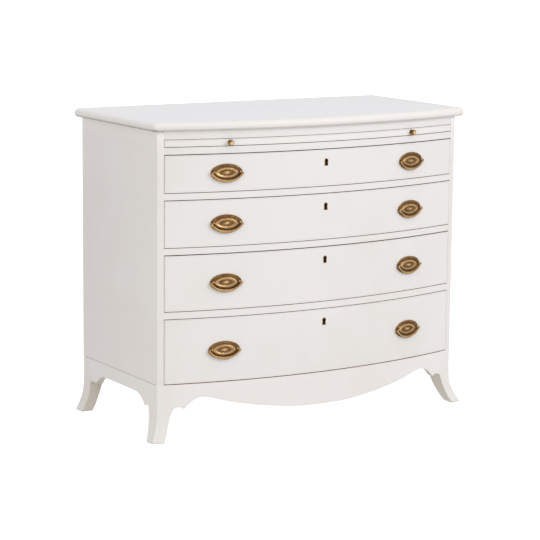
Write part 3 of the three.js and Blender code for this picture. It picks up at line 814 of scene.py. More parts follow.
# ------------------------------------------------------------------ the top
def top_ring(inset, z, n=150, nc=9):
    off = TOP_OVER - inset
    half = CASE_HALF + off
    r = TOP_CORNER + (NOSE - inset)
    cx = half - r
    rr = BOW_R + off - r
    cy = BOW_CY - math.sqrt(rr * rr - cx * cx)
    a1 = math.atan2(cy - BOW_CY, cx)
    pts = [(half, CASE_BACK), (half, 300.0), (half, 150.0)]
    for i in range(nc + 1):
        a = a1 * i / nc
        pts.append((cx + r * math.cos(a), cy + r * math.sin(a)))
    xe = pts[-1][0]
    for i in range(1, n):
        x = xe - 2 * xe * i / n
        pts.append((x, float(bow(x, off))))
    for i in range(nc, -1, -1):
        a = a1 * i / nc
        pts.append((-cx - r * math.cos(a), cy + r * math.sin(a)))
    pts += [(-half, 150.0), (-half, 300.0), (-half, CASE_BACK)]
    return [(x, y, z) for x, y in pts]


rings = []
for k in range(9):
    a = math.pi / 2 * k / 8
    rings.append(top_ring(NOSE * (1 - math.sin(a)), TOP_Z - 11.0 * (1 - math.cos(a))))
for k in range(8, -1, -1):
    a = math.pi / 2 * k / 8
    rings.append(top_ring(NOSE * (1 - math.sin(a)), TOP_Z - TOP_T + 11.0 * (1 - math.cos(a))))
v, f = loft(rings, closed=False, caps=False)
m = len(rings[0])
n = len(rings)
f += [
    tuple(range(m)),
    tuple((n - 1) * m + j for j in range(m)),
    tuple([i * m for i in range(n)] + [i * m + m - 1 for i in range(n - 1, -1, -1)]),
]
o = make("top_slab", v, f, [PAINT_TOP])
arris(o, 0.8, 2, lambda a, b: min(a.y, b.y) > CASE_BACK - 0.5 and a.z == a.z, 60)
shade(o, 42)
piece(o, "carcass", "painted_wood", "top_slab")


# ------------------------------------------------------------------ the sides
def groove_tool(side):
    """a shallow V-groove along the foot of a case side"""
    h, d = 0.75, 1.0
    rows = []
    for y, k in ((4.5, 0.02), (9.0, 1.0), (421.0, 1.0), (426.0, 0.02)):
        rows.append(
            [
                (side * (CASE_HALF + 1.0), y, PLINTH_Z + h * k * 2.0),
                (side * (CASE_HALF - d * k), y, PLINTH_Z),
                (side * (CASE_HALF + 1.0), y, PLINTH_Z - h * k * 2.0),
            ]
        )
    return make("tool", *loft(rows))


def side_outline():
    inner = OPEN_HALF
    rb = inner + REBATE
    face = CASE_BACK - BACK_T - 0.3
    p = [
        (inner, float(bow(inner))),
        (CASE_HALF, 0.0),
        (CASE_HALF, CASE_BACK),
        (rb, CASE_BACK),
        (rb, face),
        (inner, face),
    ]
    out = [p[0]]
    for x in (inner + 4, inner + 8, inner + 12):
        out.append((x, float(bow(x))))
    out += [tuple(q) for q in round_corner((CASE_HALF - 6, float(bow(CASE_HALF - 6))), p[1], p[2], 2.4, 6)]
    out += [(CASE_HALF, 80.0), (CASE_HALF, 200.0), (CASE_HALF, 320.0)]
    out += [tuple(q) for q in round_corner(p[1], p[2], p[3], 0.9, 3)]
    out += p[3:]
    return out


for side, hand in ((-1, "left"), (1, "right")):
    outline = [(side * x, y) for x, y in side_outline()]
    o = make(f"side_panel_{hand}", *prism(outline, PLINTH_Z, TOP_Z - TOP_T), [PAINT_SIDE, LIP_JAMB if hand == "left" else LIP_JAMB_UNSTAINED, BARE_Z])
    assign(o, lambda c, nn: 1 if side * nn.x < -0.7 else (2 if nn.y > 0.7 and abs(c.x) < CASE_HALF - 6 else 0))
    carve(o, [groove_tool(side)])
    shade(o, 30)
    piece(o, "carcass", "painted_wood", f"side_panel_{hand}")


# ------------------------------------------------------------------ the back
SKIRT_Z = 112.0
FOOT_IN = 443.5
w = OPEN_HALF + REBATE - 0.3
s = FOOT_IN - 0.3
outline = [
    (-s, SKIRT_Z), (s, SKIRT_Z), (s, PLINTH_Z + 0.4), (w, PLINTH_Z + 0.4),
    (w, TOP_Z - TOP_T - 0.3), (-w, TOP_Z - TOP_T - 0.3), (-w, PLINTH_Z + 0.4), (-s, PLINTH_Z + 0.4),
]
y0, y1 = CASE_BACK - BACK_T, CASE_BACK
o = make(
    "back_panel",
    *between([(x, y0, z) for x, z in outline], [(x, y1, z) for x, z in outline]),
    [PAINT_Z, BARE_Z],
)
arris(o, 0.7, 2, lambda a, b: a.y > y1 - 0.1 and b.y > y1 - 0.1, 60)
spots = [(sx * 470.5, z) for sx in (-1, 1) for z in (190, 350, 510, 670, 815)]
spots += [(x, 829.0) for x in (-300, -100, 100, 300)]
spots += [(x, 145.0) for x in (-300, -100, 100, 300)]
tools = [make("tool", *rod((x, y1 - 1.7, z), (x, y1 + 0.6, z), 2.4, 20, 4.4)) for x, z in spots]
both, faces, marks = merge(*[
    (np.array([q.co for q in t.data.vertices]) / MM - [0, SHIFT, 0], [tuple(pp.vertices) for pp in t.data.polygons])
    for t in tools
])
for t in tools:
    drop(t)
carve(o, [make("tool", both, faces)])
assign(o, lambda c, nn: 1 if nn.y < -0.7 else 0)
shade(o, 35)
piece(o, "carcass", "painted_wood", "back_panel")

parts = []
for k, (x, z) in enumerate(spots):
    prof = [(0, -1.6), (2.2, -1.6), (3.7, -0.35), (3.6, -0.15), (3.0, 0.05), (1.2, 0.12), (0, 0.12)]
    sv, sf = lathe(prof, 22)
    parts.append((sv + [x, y1 - 0.35, z], sf))
sv, sf, _ = merge(*parts)
o = make("back_screws", sv, sf, [SCREW])
slots = []
for k, (x, z) in enumerate(spots):
    a = 0.4 + 1.9 * k
    d, e = np.array([math.cos(a), math.sin(a)]), np.array([-math.sin(a), math.cos(a)])
    quad = [d * 4 + e * 0.35, d * 4 - e * 0.35, -d * 4 - e * 0.35, -d * 4 + e * 0.35]
    slots.append(
        between([(x + q[0], y1 - 1.0, z + q[1]) for q in quad], [(x + q[0], y1 + 1, z + q[1]) for q in quad])
    )
sv, sf, _ = merge(*slots)
carve(o, [make("tool", sv, sf)])
shade(o, 35, False)
piece(o, "carcass", "lock_steel")

BOARD_BACK = CASE_BACK - BACK_T - 0.6


# ------------------------------------------------------------------ rails and dustboards
def bow_section(name, section, half, mats, n=120):
    """section rows are (kind, value, z): 'd' measures back from the bow, 'y' is a plane"""
    rings = []
    for x in np.linspace(-half, half, n + 1):
        rings.append([(x, float(bow(x)) + a if k == "d" else a, z) for k, a, z in section])
    return make(name, *loft(rings), mats)


def front_edge(z0, z1, r=0.55):
    """a rail's front edge, its two arrises eased"""
    out = []
    for k in range(4):
        a = math.pi / 2 * k / 3
        out.append(("d", r * (1 - math.sin(a)), z0 + r * (1 - math.cos(a))))
    out = out[::1]
    low = [("d", r * (1 - math.sin(math.pi / 2 * k / 3)), z0 + r * (1 - math.cos(math.pi / 2 * k / 3))) for k in range(4)]
    top = [("d", r * (1 - math.cos(math.pi / 2 * k / 3)), z1 - r * (1 - math.sin(math.pi / 2 * k / 3))) for k in range(4)]
    return low + top


z0, z1 = SLIDE[1] + REVEAL, TOP_Z - TOP_T
o = bow_section("rail_top", front_edge(z0, z1, 0.5) + [("y", RAIL_BACK - 10, z1), ("y", RAIL_BACK - 10, z0)], OPEN_HALF, [LIP_TOP])
shade(o, 35)
piece(o, "carcass", "painted_wood", "rail_top")

lock_y = float(bow(0)) + LOCK_FACE
bolt_y = lock_y + LOCK_D / 2
boards = [
    ("dustboard_slide", DRAWERS[0][1] + REVEAL, SLIDE[0] - REVEAL),
    ("dustboard_1", DRAWERS[1][1] + REVEAL, DRAWERS[0][0] - REVEAL),
    ("dustboard_2", DRAWERS[2][1] + REVEAL, DRAWERS[1][0] - REVEAL),
    ("dustboard_3", DRAWERS[3][1] + REVEAL, DRAWERS[2][0] - REVEAL),
]
for name, z0, z1 in boards:
    section = front_edge(z0, z1) + [
        ("y", BOARD_BACK, z1), ("y", BOARD_BACK, z1 - BOARD_T), ("y", RAIL_BACK, z1 - BOARD_T), ("y", RAIL_BACK, z0),
    ]
    o = bow_section(name, section, OPEN_HALF, [LIP_RAIL, RAW_CUT])
    t = make("tool", *box(-BOLT_W / 2 - 1.5, BOLT_W / 2 + 1.5, bolt_y - BOLT_D / 2 - 1.2, bolt_y + BOLT_D / 2 + 1.2, z0 - 5, z0 + BOLT_THROW + 1.5))
    t.data.polygons.foreach_set("material_index", np.ones(6, np.int32))
    carve(o, [t])
    shade(o, 35)
    piece(o, "carcass", "painted_wood", name)


# ------------------------------------------------------------------ bottom board
def bottom_outline(grow):
    h = OPEN_HALF - 0.3 + grow
    xs = np.linspace(-h, h, 61)
    return [(x, float(bow(x, -FRONT_T - 0.3 + grow))) for x in xs] + [(h, BOARD_BACK + grow), (-h, BOARD_BACK + grow)]


o = make("bottom_board", *prism(bottom_outline(0), PLINTH_Z - BOTTOM_T, PLINTH_Z), [BARE_X])
arris(o, 0.6, 1, None, 50)
shade(o, 35)
piece(o, "carcass", "drawer_wood", "bottom_board")


def bottom_room():
    return make("tool", *prism(bottom_outline(0.3), PLINTH_Z - BOTTOM_T - 0.3, PLINTH_Z + 20))


# ------------------------------------------------------------------ aprons
APRON_EDGE = [
    (0, 63.4), (24, 63.4), (48, 63.6), (72.5, 64.5), (98, 66.7), (123, 69.3), (147, 72.2), (172, 75.7),
    (196, 79.4), (220, 83.5), (243, 87.6), (266, 92.3), (289, 97.8), (312, 104.3), (328, 108.8), (340, 111.9),
    (350, 113.8), (358, 114.6), (366, 114.5), (374, 112.9), (382, 109.8), (389, 106), (396, 100.6), (403, 93.8),
    (408, 88.4), (411.5, 84.8), (414.5, 86.9), (420, 89.2), (427, 90.2), (433, 89.3), (438, 86.8), (443.35, 82.5),
]


def edge_run(table, cusps, step):
    """the table's line, smooth between cusps, with points about step apart"""
    t = np.array(table, float)
    cuts = [0] + [int(np.argmin(abs(t[:, 0] - c))) for c in cusps] + [len(t) - 1]
    out = []
    for a, b in zip(cuts, cuts[1:]):
        line = curve_through(t[a : b + 1], 12)
        ln = np.concatenate([[0], np.cumsum(np.hypot(*np.diff(line, axis=0).T))])
        k = max(2, int(round(ln[-1] / step)))
        s = np.linspace(0, ln[-1], k + 1)
        out += list(zip(np.interp(s, ln, line[:, 0]), np.interp(s, ln, line[:, 1])))[:-1]
    out.append(tuple(t[-1]))
    return out


def apron(name, line, top, t0, t1, place, mats, keep_ends, r=1.1):
    """a board under line, from depth t0 to t1; place(a, depth, z) gives its point in the frame"""
    n = len(line)
    verts, faces = [], []
    for a, z in line:
        for d, zz in ((t0, z), (t1, z), (t1, top), (t0, top)):
            verts.append((a, d, zz))
    for i in range(n - 1):
        for j in range(4):
            k = (j + 1) % 4
            faces.append((4 * i + j, 4 * i + k, 4 * (i + 1) + k, 4 * (i + 1) + j))
    faces += [(0, 1, 2, 3), tuple(4 * (n - 1) + j for j in range(4))]
    o = make(name, verts, faces, mats)
    ends = (line[0][0], line[-1][0])

    def pick(p, q):
        if abs(p.x - q.x) < 1e-3 and min(abs(p.x - e) for e in ends) < 1e-3:
            return False
        if min(p.z, q.z) > top - 0.01:
            return False
        # only the run along the lower edge, front and back
        return abs(p.y - q.y) < 1e-3

    arris(o, r, 3, pick, 40)
    co = np.array([q.co for q in o.data.vertices]) / MM
    co[:, 1] -= SHIFT
    out = np.array([place(*p) for p in co])
    out[:, 1] += SHIFT
    o.data.vertices.foreach_set("co", (out * MM).astype(np.float32).ravel())
    o.data.update()
    bm = bmesh.new()
    bm.from_mesh(o.data)
    bmesh.ops.recalc_face_normals(bm, faces=bm.faces)
    bm.to_mesh(o.data)
    bm.free()
    return o


right = edge_run(APRON_EDGE, [411.5], 3.0)
line = [(-x, z) for x, z in right[:0:-1]] + right
o = apron(
    "front_apron", line, PLINTH_Z, 0.0, FRONT_T,
    lambda a, d, z: (a, float(bow(a, -d)), z), [PAINT_APRON, BARE_X, PAINT_UNDER], True, 1.0,
)
# lower edges take the darker paint, painted shade
assign(o, lambda c, nn: 1 if nn.y > 0.8 else (2 if nn.y > -0.55 and c.z < PLINTH_Z - 1 else 0))
shade(o, 40)
piece(o, "carcass", "painted_wood", "front_apron")

SIDE_EDGE = [
    (46.15, 81.1), (50, 86.2), (55, 89), (61, 89.6), (67, 88.2), (71, 85.6), (75, 90.6), (80, 95.5), (86, 100.5),
    (93, 105.2), (101, 109.4), (110, 112.5), (120, 114.1), (130, 114.5), (303, 114.5), (313, 114.1), (323, 112.5),
    (332, 109.4), (340, 105.2), (347, 100.5), (353, 95.5), (358, 90.6), (362, 85.6), (366, 88), (373, 89.4),
    (381, 89.2), (388, 87), (393, 83.4), (395.85, 79.8),
]
for side, hand in ((-1, "left"), (1, "right")):
    line = edge_run(SIDE_EDGE, [71, 130, 303, 362], 2.6)
    o = apron(
        f"side_apron_{hand}", line, PLINTH_Z, 0.0, 24.0,
        lambda a, d, z: (side * (CASE_HALF - d), a, z), [PAINT_SIDE_APRON, BARE_Y, PAINT_UNDER], True, 1.0,
    )
    carve(o, [bottom_room(), groove_tool(side)])
    # lower edges take the darker paint, painted shade
    assign(o, lambda c, nn: 1 if side * nn.x < -0.8 else (2 if side * nn.x < 0.55 and c.z < PLINTH_Z - 1 else 0))
    shade(o, 40)
    piece(o, "carcass", "painted_wood", f"side_apron_{hand}")


# ------------------------------------------------------------------ feet
SPLAY = reader([
    (160, 0), (110, 0), (80, 0.9), (66, 1.7), (60, 2.5), (54, 3.8), (48, 5.2), (42, 6.9), (36.5, 8.8), (31, 11),
    (25, 13.6), (19, 16.5), (13, 19.6), (7, 23), (0, 27),
])
INNER = reader([
    (160, 443.35), (88, 443.35), (84, 443.4), (81, 443.7), (77.6, 445.1), (69.6, 448.8), (61.5, 451.4), (53.8, 454),
    (46.2, 456.8), (38.6, 459.5), (31, 462.3), (23.7, 465.2), (16.3, 468.6), (9, 472.3), (3.5, 475.4), (0, 477.5),
])
REAR = reader([
    (160, 46.15), (88, 46.15), (80, 45.9), (70, 44.6), (62, 42.8), (55, 40.4), (47, 37.4), (40, 34.4), (33, 31),
    (26, 27.2), (19, 23), (12, 18.6), (5, 13.8), (0, 10.2),
])


def ease(z, lo, hi, v0, v1):
    s = min(max((z - lo) / (hi - lo), 0), 1)
    return v0 + (v1 - v0) * s * s * (3 - 2 * s)


def foot_ring(z, back, side, inset=0.0):
    sp = SPLAY(z)
    xo = CASE_HALF + sp
    xi = INNER(z)
    if back:
        y0 = lambda x: 395.85 + 1.2 * (1 - z / PLINTH_Z)
        y1 = CASE_BACK - 3 * (1 - z / PLINTH_Z)
    else:
        y0 = lambda x: float(bow(CASE_HALF - (xo - x))) - 0.82 * sp
        y1 = REAR(z)
    A, B, C, D = (xi, y0(xi)), (xo, y0(xo)), (xo, y1), (xi, y1)
    join_in = ease(z, 76, 83, 1.0, 0.03)
    if back:
        ra, rb, rc, rd = ease(z, 76, 81, 1.0, 0.03), ease(z, 72, 80, 1.0, 0.03), 1.3, 1.0
    else:
        ra, rb, rc, rd = join_in, 2.4, ease(z, 74, 81, 1.1, 0.03), 0.8
    f1 = (xi + 0.3 * (xo - xi), y0(xi + 0.3 * (xo - xi)))
    f2 = (xi + 0.7 * (xo - xi), y0(xi + 0.7 * (xo - xi)))
    ring = []
    ring += round_corner(D, A, f1, ra, 3)
    ring += [np.array(f1), np.array(f2)]
    ring += round_corner(f2, B, C, rb, 6)
    ring += round_corner(B, C, D, rc, 3)
    ring += round_corner(C, D, A, rd, 3)
    ring = np.array(ring)
    if inset:
        c = ring.mean(0)
        d = ring - c
        ring = c + d * (1 - inset / np.linalg.norm(d, axis=1))[:, None]
    return [(side * x, y, z) for x, y in ring]


levels = [(0.0, 0.9), (0.35, 0.3), (1.0, 0.0)]
levels += [(z, 0.0) for z in np.arange(3.5, 90, 2.5)] + [(z, 0.0) for z in (92, 100, 110, 125, 140, PLINTH_Z)]
for back, where in ((False, "front"), (True, "back")):
    for side, hand in ((-1, "left"), (1, "right")):
        rings = [foot_ring(z, back, side, ins) for z, ins in levels]
        o = make(f"foot_{where}_{hand}", *loft(rings), [PAINT_FOOT, BARE_Z, PAINT_FOOT_IN])
        carve(o, [bottom_room(), groove_tool(side)])
        fore = -1 if back else 1
        # faces that look inward take the darker paint, painted shade
        assign(
            o,
            lambda c, nn: 1
            if nn.z < -0.9 and c.z < 1
            else (2 if side * nn.x < -0.5 or fore * nn.y > 0.6 else 0),
        )
        shade(o, 32)
        piece(o, "carcass", "painted_wood", f"foot_{where}_{hand}")


# ------------------------------------------------------------------ bowed fronts with a bead all round
BEAD = [
    (0.0, -1.5), (0.15, -0.85), (0.45, -0.3), (0.95, 0.08), (1.6, 0.22), (2.3, 0.1), (2.8, -0.2), (3.1, -0.62),
    (3.3, -0.8), (3.6, -0.8), (3.8, -0.45), (4.05, -0.1), (4.4, 0.0),
]


def bowed_front(name, half, z0, z1, mats, back_y=None, n=84, rows=4, more=0.9):
    """a board on the bow whose face has a bead and a quirk along all four edges. Its back follows the bow too, or is the plane back_y."""
    e = [a for a, _ in BEAD]
    last = e[-1]

    def stations(lo, hi, k):
        inner = np.linspace(lo + last, hi - last, k + 1)[1:-1]
        return np.array([lo + a for a in e] + list(inner) + [hi - a for a in e[::-1]])

    xs, zs = stations(-half, half + more, n), stations(z0, z1, rows)
    depth = np.interp
    ex = np.minimum(xs + half, half + more - xs)
    ez = np.minimum(zs - z0, z1 - zs)
    ea, eo = [a for a, _ in BEAD], [b for _, b in BEAD]
    # paint has filled the outer round at the right end
    filled = [-0.42, -0.22, -0.08] + eo[3:]
    verts = []
    nx, nz = len(xs), len(zs)
    for j in range(nz):
        for i in range(nx):
            at_right = xs[i] > 0 and ex[i] <= ez[j]
            off = float(depth(min(ex[i], ez[j]), ea, filled if at_right else eo))
            verts.append((xs[i], float(bow(xs[i], off)), zs[j]))
    faces = []
    k = len(e)
    for j in range(nz - 1):
        for i in range(nx - 1):
            a, b, c, d = j * nx + i, j * nx + i + 1, (j + 1) * nx + i + 1, (j + 1) * nx + i
            left, right = i < k - 1, i >= nx - k
            low, high = j < k - 1, j >= nz - k
            if (left or right) and (low or high):
                if (left and low) or (right and high):
                    faces += [(a, b, c), (a, c, d)]
                else:
                    faces += [(a, b, d), (b, c, d)]
            else:
                faces.append((a, b, c, d))
    base = len(verts)
    for zz in (z0, z1):
        for x in xs:
            verts.append((x, float(bow(x, -FRONT_T)) if back_y is None else back_y, zz))
    lo_row, hi_row = base, base + nx
    for i in range(nx - 1):
        faces.append((i, i + 1, lo_row + i + 1, lo_row + i))
        t = (nz - 1) * nx
        faces.append((t + i, t + i + 1, hi_row + i + 1, hi_row + i))
        faces.append((lo_row + i, lo_row + i + 1, hi_row + i + 1, hi_row + i))
    faces.append(tuple([j * nx for j in range(nz)] + [hi_row, lo_row]))
    faces.append(tuple([j * nx + nx - 1 for j in range(nz)] + [hi_row + nx - 1, lo_row + nx - 1]))
    return make(name, verts, faces, mats)


def on_front(x, z):
    """the frame of a fitting on the bow: x along the front, y into it, z up, the origin on the bow"""
    a = turn(x)
    c, s = math.cos(a), math.sin(a)
    o = np.array([x, float(bow(x)), z])
    return lambda p: np.asarray(p, float) @ np.array([[c, s, 0], [-s, c, 0], [0, 0, 1]]) + o


# the brushing slide
z0, z1 = SLIDE[0] + REVEAL, SLIDE[1] - REVEAL + 0.15
o = bowed_front("brushing_slide", FRONT_HALF, z0, z1, [PAINT_SLIDE, RAW_CUT], back_y=424.0, n=84, rows=2)
arris(o, 0.8, 2, lambda a, b: min(a.y, b.y) > 423.5, 50)
tools = []
for sx, hand in ((-1, "left"), (1, "right")):
    at = on_front(sx * KNOB_X[hand], KNOB_Z)
    rv, rf = rod((0, -6, 0), (0, 13, 0), 2.6, 20)
    tools.append(make("tool", at(rv), rf))
# the joints of the cross-grained end clamps, on both faces
for sx in (-1, 1):
    for zz in (z0, z1):
        x = sx * 398.0
        d = 0.5
        tools.append(
            make("tool", *between(
                [(x - 0.45, 0, zz - d), (x + 0.45, 0, zz - d), (x + 0.45, 0, zz + d), (x - 0.45, 0, zz + d)],
                [(x - 0.45, 430, zz - d), (x + 0.45, 430, zz - d), (x + 0.45, 430, zz + d), (x - 0.45, 430, zz + d)],
            ))
        )
carve(o, tools)
shade(o, 40)
piece(o, "slide", "painted_wood", "brushing_slide")


def blended(profile, per=5):
    """a turned profile made smooth where its points are close to a curve"""
    out = []
    for seg in profile:
        pts = curve_through(seg, per) if len(seg) > 2 else np.array(seg, float)
        out += [tuple(p) for p in (pts if not out else pts[1:])]
    return out


KNOB = blended([
    [(0, 11), (2.2, 11)],
    [(2.2, 11), (2.2, -0.35)],
    [(2.2, -0.35), (7.3, -0.35)],
    [(7.3, -0.35), (7.5, -0.7), (7.35, -1.15), (6.9, -1.45)],
    [(6.9, -1.45), (6.1, -1.6), (5.4, -2.1), (4.2, -2.9), (3.3, -3.7), (3.05, -4.4), (3.3, -5.1)],
    [(3.3, -5.1), (3.9, -5.25), (4.3, -5.6), (4.25, -6.1)],
    [(4.25, -6.1), (5.2, -6.5), (6.6, -7.7), (7.4, -9.3), (7.5, -10.9), (7.0, -12.9), (5.8, -14.8), (4.0, -16.1), (2.0, -16.9), (0, -17.1)],
])
for sx, hand in ((-1, "left"), (1, "right")):
    at = on_front(sx * KNOB_X[hand], KNOB_Z)
    kv, kf = lathe(KNOB, 48)
    o = make(f"slide_knob_{hand}", at(kv), kf, [KNOB_BRASS])
    h = kv[:, 1]
    r = np.hypot(kv[:, 0], kv[:, 2])
    tar = np.interp(-h, [-1, 0.3, 1.0, 1.6, 3.0, 4.5, 5.2, 5.6, 6.2, 8.0, 10.0, 12.6, 14.2, 15.3, 16.2, 18], [1, 0.7, 0.25, 0.6, 0.9, 1.0, 0.85, 0.5, 0.8, 0.78, 0.7, 0.8, 0.5, 0.2, 0.1, 0.14])
    tarnish(o, tar)
    shade(o, 40, False)
    piece(o, "slide", "aged_brass", f"slide_knob_{hand}")


# ------------------------------------------------------------------ keyholes
def key_outline(head, neck, foot, h, n=28):
    zc = h / 2 - head
    a0 = math.asin(neck / head)
    pts = []
    for i in range(n + 1):
        a = -math.pi / 2 + a0 + (2 * math.pi - 2 * a0) * i / n
        pts.append((head * math.cos(a), zc + head * math.sin(a)))
    end = np.array(pts[-1])
    for k in range(1, 5):
        t = k / 5
        pts.append(tuple(end * (1 - t) + np.array([-foot, -h / 2]) * t))
    pts.append((-foot, -h / 2))
    for k in range(1, 4):
        pts.append((-foot + 2 * foot * k / 4, -h / 2))
    pts.append((foot, -h / 2))
    start = np.array(pts[0])
    for k in range(1, 5):
        t = k / 5
        pts.append(tuple(np.array([foot, -h / 2]) * (1 - t) + start * t))
    return np.array(pts)


def keyhole_tool(shape, y0, y1, z):
    p = shape
    return between([(a, y0, b + z) for a, b in p], [(a, y1, b + z) for a, b in p])


def escutcheon(z):
    """a keyhole lining whose proud lip is rounded"""
    outer, inner = key_outline(6.3, 5.5, 5.9, 20.8), key_outline(4.5, 3.6, 4.1, 17.2)
    y = float(bow(0))
    rows = [
        (0.0, 3.9), (0.0, 0.2), (0.02, -0.2), (0.16, -0.42), (0.4, -0.5), (0.65, -0.46), (0.88, -0.25), (1.0, 0.15), (1.0, 3.9),
    ]
    rings = []
    for t, d in rows:
        p = outer * (1 - t) + inner * t
        rings.append([(a, y + d, b + z) for a, b in p])
    v, f = loft(rings, caps=False)
    m = len(outer)
    n = len(rings)
    f += [(j, (j + 1) % m, (n - 1) * m + (j + 1) % m, (n - 1) * m + j) for j in range(m)]
    tar = np.repeat([1.0, 0.85, 0.7, 0.5, 0.42, 0.46, 0.62, 0.95, 1.0], m)
    return v, f, tar


# ------------------------------------------------------------------ pulls
# the frame of a pull has its origin in the middle of the plate's back; the posts stand a little above the middle
def oval(a, b, t, w):
    """a ring from an ellipse (w = 0) to an eye shape with pointed ends (w = 1)"""
    x = a * np.cos(t)
    s = np.sin(t)
    r = (a * a + b * b) / (2 * b)
    eye = np.sqrt(np.maximum(r * r - x * x, 0)) - (r - b)
    return x, (b * np.abs(s) * (1 - w) + eye * w) * np.sign(s)


PLATE = [  # half length, half height, pointedness, middle's height, thickness there, tarnish
    (45.3, 24.45, 0.0, 0.0, 0.2, 1.0), (45.6, 24.7, 0.0, 0.0, 0.55, 0.8), (45.6, 24.7, 0.0, 0.0, 0.95, 0.45),
    (45.35, 24.5, 0.0, 0.0, 1.3, 0.22), (44.9, 24.15, 0.0, 0.0, 1.5, 0.14), (44.4, 23.75, 0.0, 0.0, 1.52, 0.2),
    (43.9, 23.35, 0.0, 0.0, 1.3, 0.45), (43.4, 22.9, 0.0, 0.0, 0.95, 0.8), (42.7, 22.3, 0.0, 0.0, 0.72, 0.95),
    (41.4, 21.3, 0.02, 0.1, 0.62, 0.82), (39.8, 20.0, 0.08, 0.25, 0.6, 0.74), (38.3, 18.7, 0.18, 0.45, 0.62, 0.8),
    (36.9, 17.5, 0.3, 0.6, 0.75, 1.0), (36.3, 16.9, 0.36, 0.68, 0.98, 0.95), (35.4, 16.0, 0.43, 0.74, 1.65, 0.75),
    (34.4, 15.1, 0.5, 0.8, 2.4, 0.62), (33.4, 14.2, 0.55, 0.8, 3.1, 0.54), (32.4, 13.35, 0.6, 0.8, 3.7, 0.42),
    (31.6, 12.7, 0.64, 0.8, 4.06, 0.28), (30.9, 12.15, 0.66, 0.8, 4.22, 0.12), (30.2, 11.65, 0.66, 0.8, 4.2, 0.1),
    (29.0, 10.95, 0.65, 0.8, 3.98, 0.18), (27.3, 10.0, 0.6, 0.8, 3.63, 0.32), (25.6, 9.2, 0.52, 0.8, 3.32, 0.44),
    (23.6, 8.45, 0.42, 0.8, 3.02, 0.56), (21.4, 7.8, 0.3, 0.8, 2.74, 0.72), (19.0, 7.25, 0.18, 0.8, 2.5, 0.86),
    (16.6, 6.75, 0.08, 0.8, 2.36, 0.96), (14.6, 6.3, 0.0, 0.8, 2.36, 1.0), (13.4, 5.9, 0.0, 0.8, 2.7, 0.9),
    (12.6, 5.6, 0.0, 0.8, 3.15, 0.7), (11.9, 5.3, 0.0, 0.8, 3.42, 0.5), (11.2, 5.0, 0.0, 0.8, 3.46, 0.48),
    (10.5, 4.7, 0.0, 0.8, 3.28, 0.62), (9.8, 4.4, 0.0, 0.8, 2.98, 0.86), (9.0, 4.05, 0.0, 0.8, 2.86, 0.92),
    (8.1, 3.65, 0.0, 0.8, 3.0, 0.74), (7.0, 3.2, 0.0, 0.8, 3.3, 0.42), (5.6, 2.6, 0.0, 0.8, 3.62, 0.2),
    (4.0, 1.9, 0.0, 0.8, 3.85, 0.1), (2.2, 1.05, 0.0, 0.8, 3.97, 0.06), (0.9, 0.45, 0.0, 0.8, 4.0, 0.06),
]


